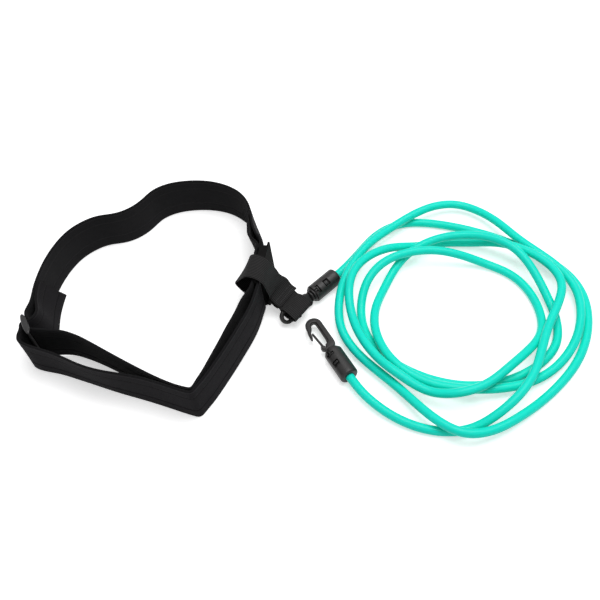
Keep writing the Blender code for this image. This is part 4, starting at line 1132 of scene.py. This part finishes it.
def make_end(number, side, end, heading, barrel_roll, hook_roll, stout):
    """One end fitting: barrel, insert, hook, gate and plug."""
    def add(name, node, roll, parts, look, body):
        parts = in_frame(parts, own_frame(end, heading, roll))
        return make_piece(f"{name}_{number}", parts, look, body, f"{node}_{number}")

    skins = [barrel_skins()]
    barrel = add("barrel_shell", "barrel", barrel_roll, skins, barrel_look, "tether")
    round_edges(barrel, 0.28, 50)
    hook, web = hook_outlines(stout)
    hook = crowned_plate(hook, HOOK_THICKNESS / 2 + 0.6 * stout, 1.4, 0.5, 3)
    forms = [hook, turned(hook_shaft(), 40)]
    if stout:
        forms.append(crowned_plate(web, 1.5, 0.4, 0.5, 1))
    add("snap_hook", "hook", hook_roll, forms, hook_look, f"{side}_hook")
    gate = crowned_plate(gate_outline(0.5 * stout), GATE_THICKNESS / 2, 0.6, 0.4, 1)
    add("spring_gate", "gate", hook_roll, [gate], hook_look, f"{side}_gate")
    add("swivel_sleeve", "swivel_insert", barrel_roll, sleeve_parts(), hook_look, "tether")
    rounded_copy(f"tube_plug_{number}", f"tube_stop_{number}", barrel_look, "tether", 0.2)


# Floor and light


def add_lamp(name, place, size, power):
    """Square lamp that shines towards the part."""
    data = bpy.data.lights.new(name, "AREA")
    data.size = size
    data.energy = power
    light = add_object(name, data)
    light.location = place
    light.rotation_euler = (LAMP_TARGET - Vector(place)).to_track_quat("-Z", "Y").to_euler()


def make_stage():
    """White floor that keeps its shadows and is evenly white far out, two lamps, pale world."""
    mesh = bpy.data.meshes.new("floor")
    corners = ((-1, -1), (1, -1), (1, 1), (-1, 1))
    mesh.from_pydata(
        [(x * FLOOR_HALF, y * FLOOR_HALF, FLOOR_LEVEL) for x, y in corners], [], [(0, 1, 2, 3)]
    )
    floor = add_object("floor", mesh)
    f = Finish("white_floor", 0.9, Base_Color=(0.9, 0.9, 0.905), Specular_IOR_Level=0)
    x, y = f.split(f.place())
    far = f.step((x * x + y * y) ** 0.5, 1.1, 0.6)
    glow = f.node("Emission", {"Color": f.mix(far, (FLOOR_GLOW,) * 3, WHITE)})
    seen = f.node("MixShader", {0: f.seen(), 2: glow.outputs[0]})
    total = f.node("AddShader", {0: f.shader.outputs[0], 1: seen.outputs[0]})
    f.join(total.outputs[0], f.tree.nodes["Material Output"].inputs["Surface"])
    mesh.materials.append(f.material)

    world = bpy.data.worlds.new("studio")
    bpy.context.scene.world = world
    studio = Nodes(world)
    sky = studio.tree.nodes["Background"]
    studio.join(WHITE, sky.inputs["Color"])
    level = studio.node("MapRange", {"Value": studio.seen(), "To Min": WORLD_LIGHT})
    studio.join(level.outputs[0], sky.inputs["Strength"])
    add_lamp("overhead_lamp", (0.45, 0.16, 1.55), 1.2, 22)
    add_lamp("front_lamp", (0.5, -1.3, 1.3), 1, 1.5)


make_camera()

strap_look = strap_finish()
webbing_look = webbing_finish()
thread_look = thread_finish()
latex_look = latex_finish()
# Of each moulding its dark and light tone, roughness, grain and gloss
buckle_look, slider_look, barrel_look, hook_look = [
    moulded_finish(*row) for row in (
        ("buckle_plastic", (0.006, 0.006, 0.006), (0.013, 0.0126, 0.0126), 0.62, 0.5, 0.01),
        ("slider_plastic", (0.018, 0.0175, 0.018), (0.036, 0.035, 0.036), 0.3, 0.4, 0.28),
        ("barrel_plastic", (0.0088, 0.0083, 0.0083), (0.0185, 0.017, 0.017), 0.4, 0.6, 0.34),
        ("hook_plastic", (0.009, 0.0088, 0.009), (0.019, 0.018, 0.018), 0.4, 0.4, 0.28),
    )
]

tube, tube_path = make_tube(tube_line())

strap_low, strap_high = strap_edges()
strap = band(strap_low, strap_high, STRAP_THICKNESS - 0.2, 81, hem, 1)
make_piece("waist_webbing", [strap], strap_look, "belt", "waist_strap")
big, small, sewn = tether_rows()
big_low, big_high = make_webbing("belt_loop", big, WEBBING_WIDTH, "tether_loop")
make_webbing("eye_loop", small, END_LOOP_WIDTH, "hook_loop")

for number, at in ((1, (-119, 87)), (2, (-114, 69))):
    stitched_row(
        f"fold_stitches_{number}", strap_low, strap_high, at, STRAP_THICKNESS / 2 + 0.05,
        (-1.4, 1.4), 3, "belt", f"strap_tack_{number}", zigzag=0.5,
    )
for number, back in ((1, 3), (2, 7.4)):
    stitched_row(
        f"tether_stitches_{number}", big_low[-26:], big_high[-26:], sewn(back, 3)[:2],
        WEBBING_THICKNESS / 2 + 0.06, (0,), 1.6, "tether", f"tether_stitch_{number}",
    )

make_end(1, "first", END_1, END_1_HEADING, BARREL_1_ROLL, HOOK_1_ROLL, 0)
make_end(2, "second", END_2, END_2_HEADING, BARREL_2_ROLL, HOOK_2_ROLL, HOOK_2_STOUTER)

for node, name, body in (
    ("buckle_female", "buckle_socket", "belt"),
    ("buckle_male", "buckle_plug", "belt"),
    ("buckle_arm_upper", "upper_spring_arm", "upper_arm"),
    ("buckle_arm_lower", "lower_spring_arm", "lower_arm"),
):
    rounded_copy(node, name, buckle_look, body, 0.4)
slider_frame = own_frame(SLIDER_CENTRE, SLIDER_HEADING, math.pi / 2, SLIDER_MIDDLE)
slider = in_frame(slider_parts(), slider_frame)
make_piece("three_bar_slider", slider, slider_look, "belt", "strap_slider")

make_stage()
bpy.context.scene.view_settings.view_transform = "Standard"
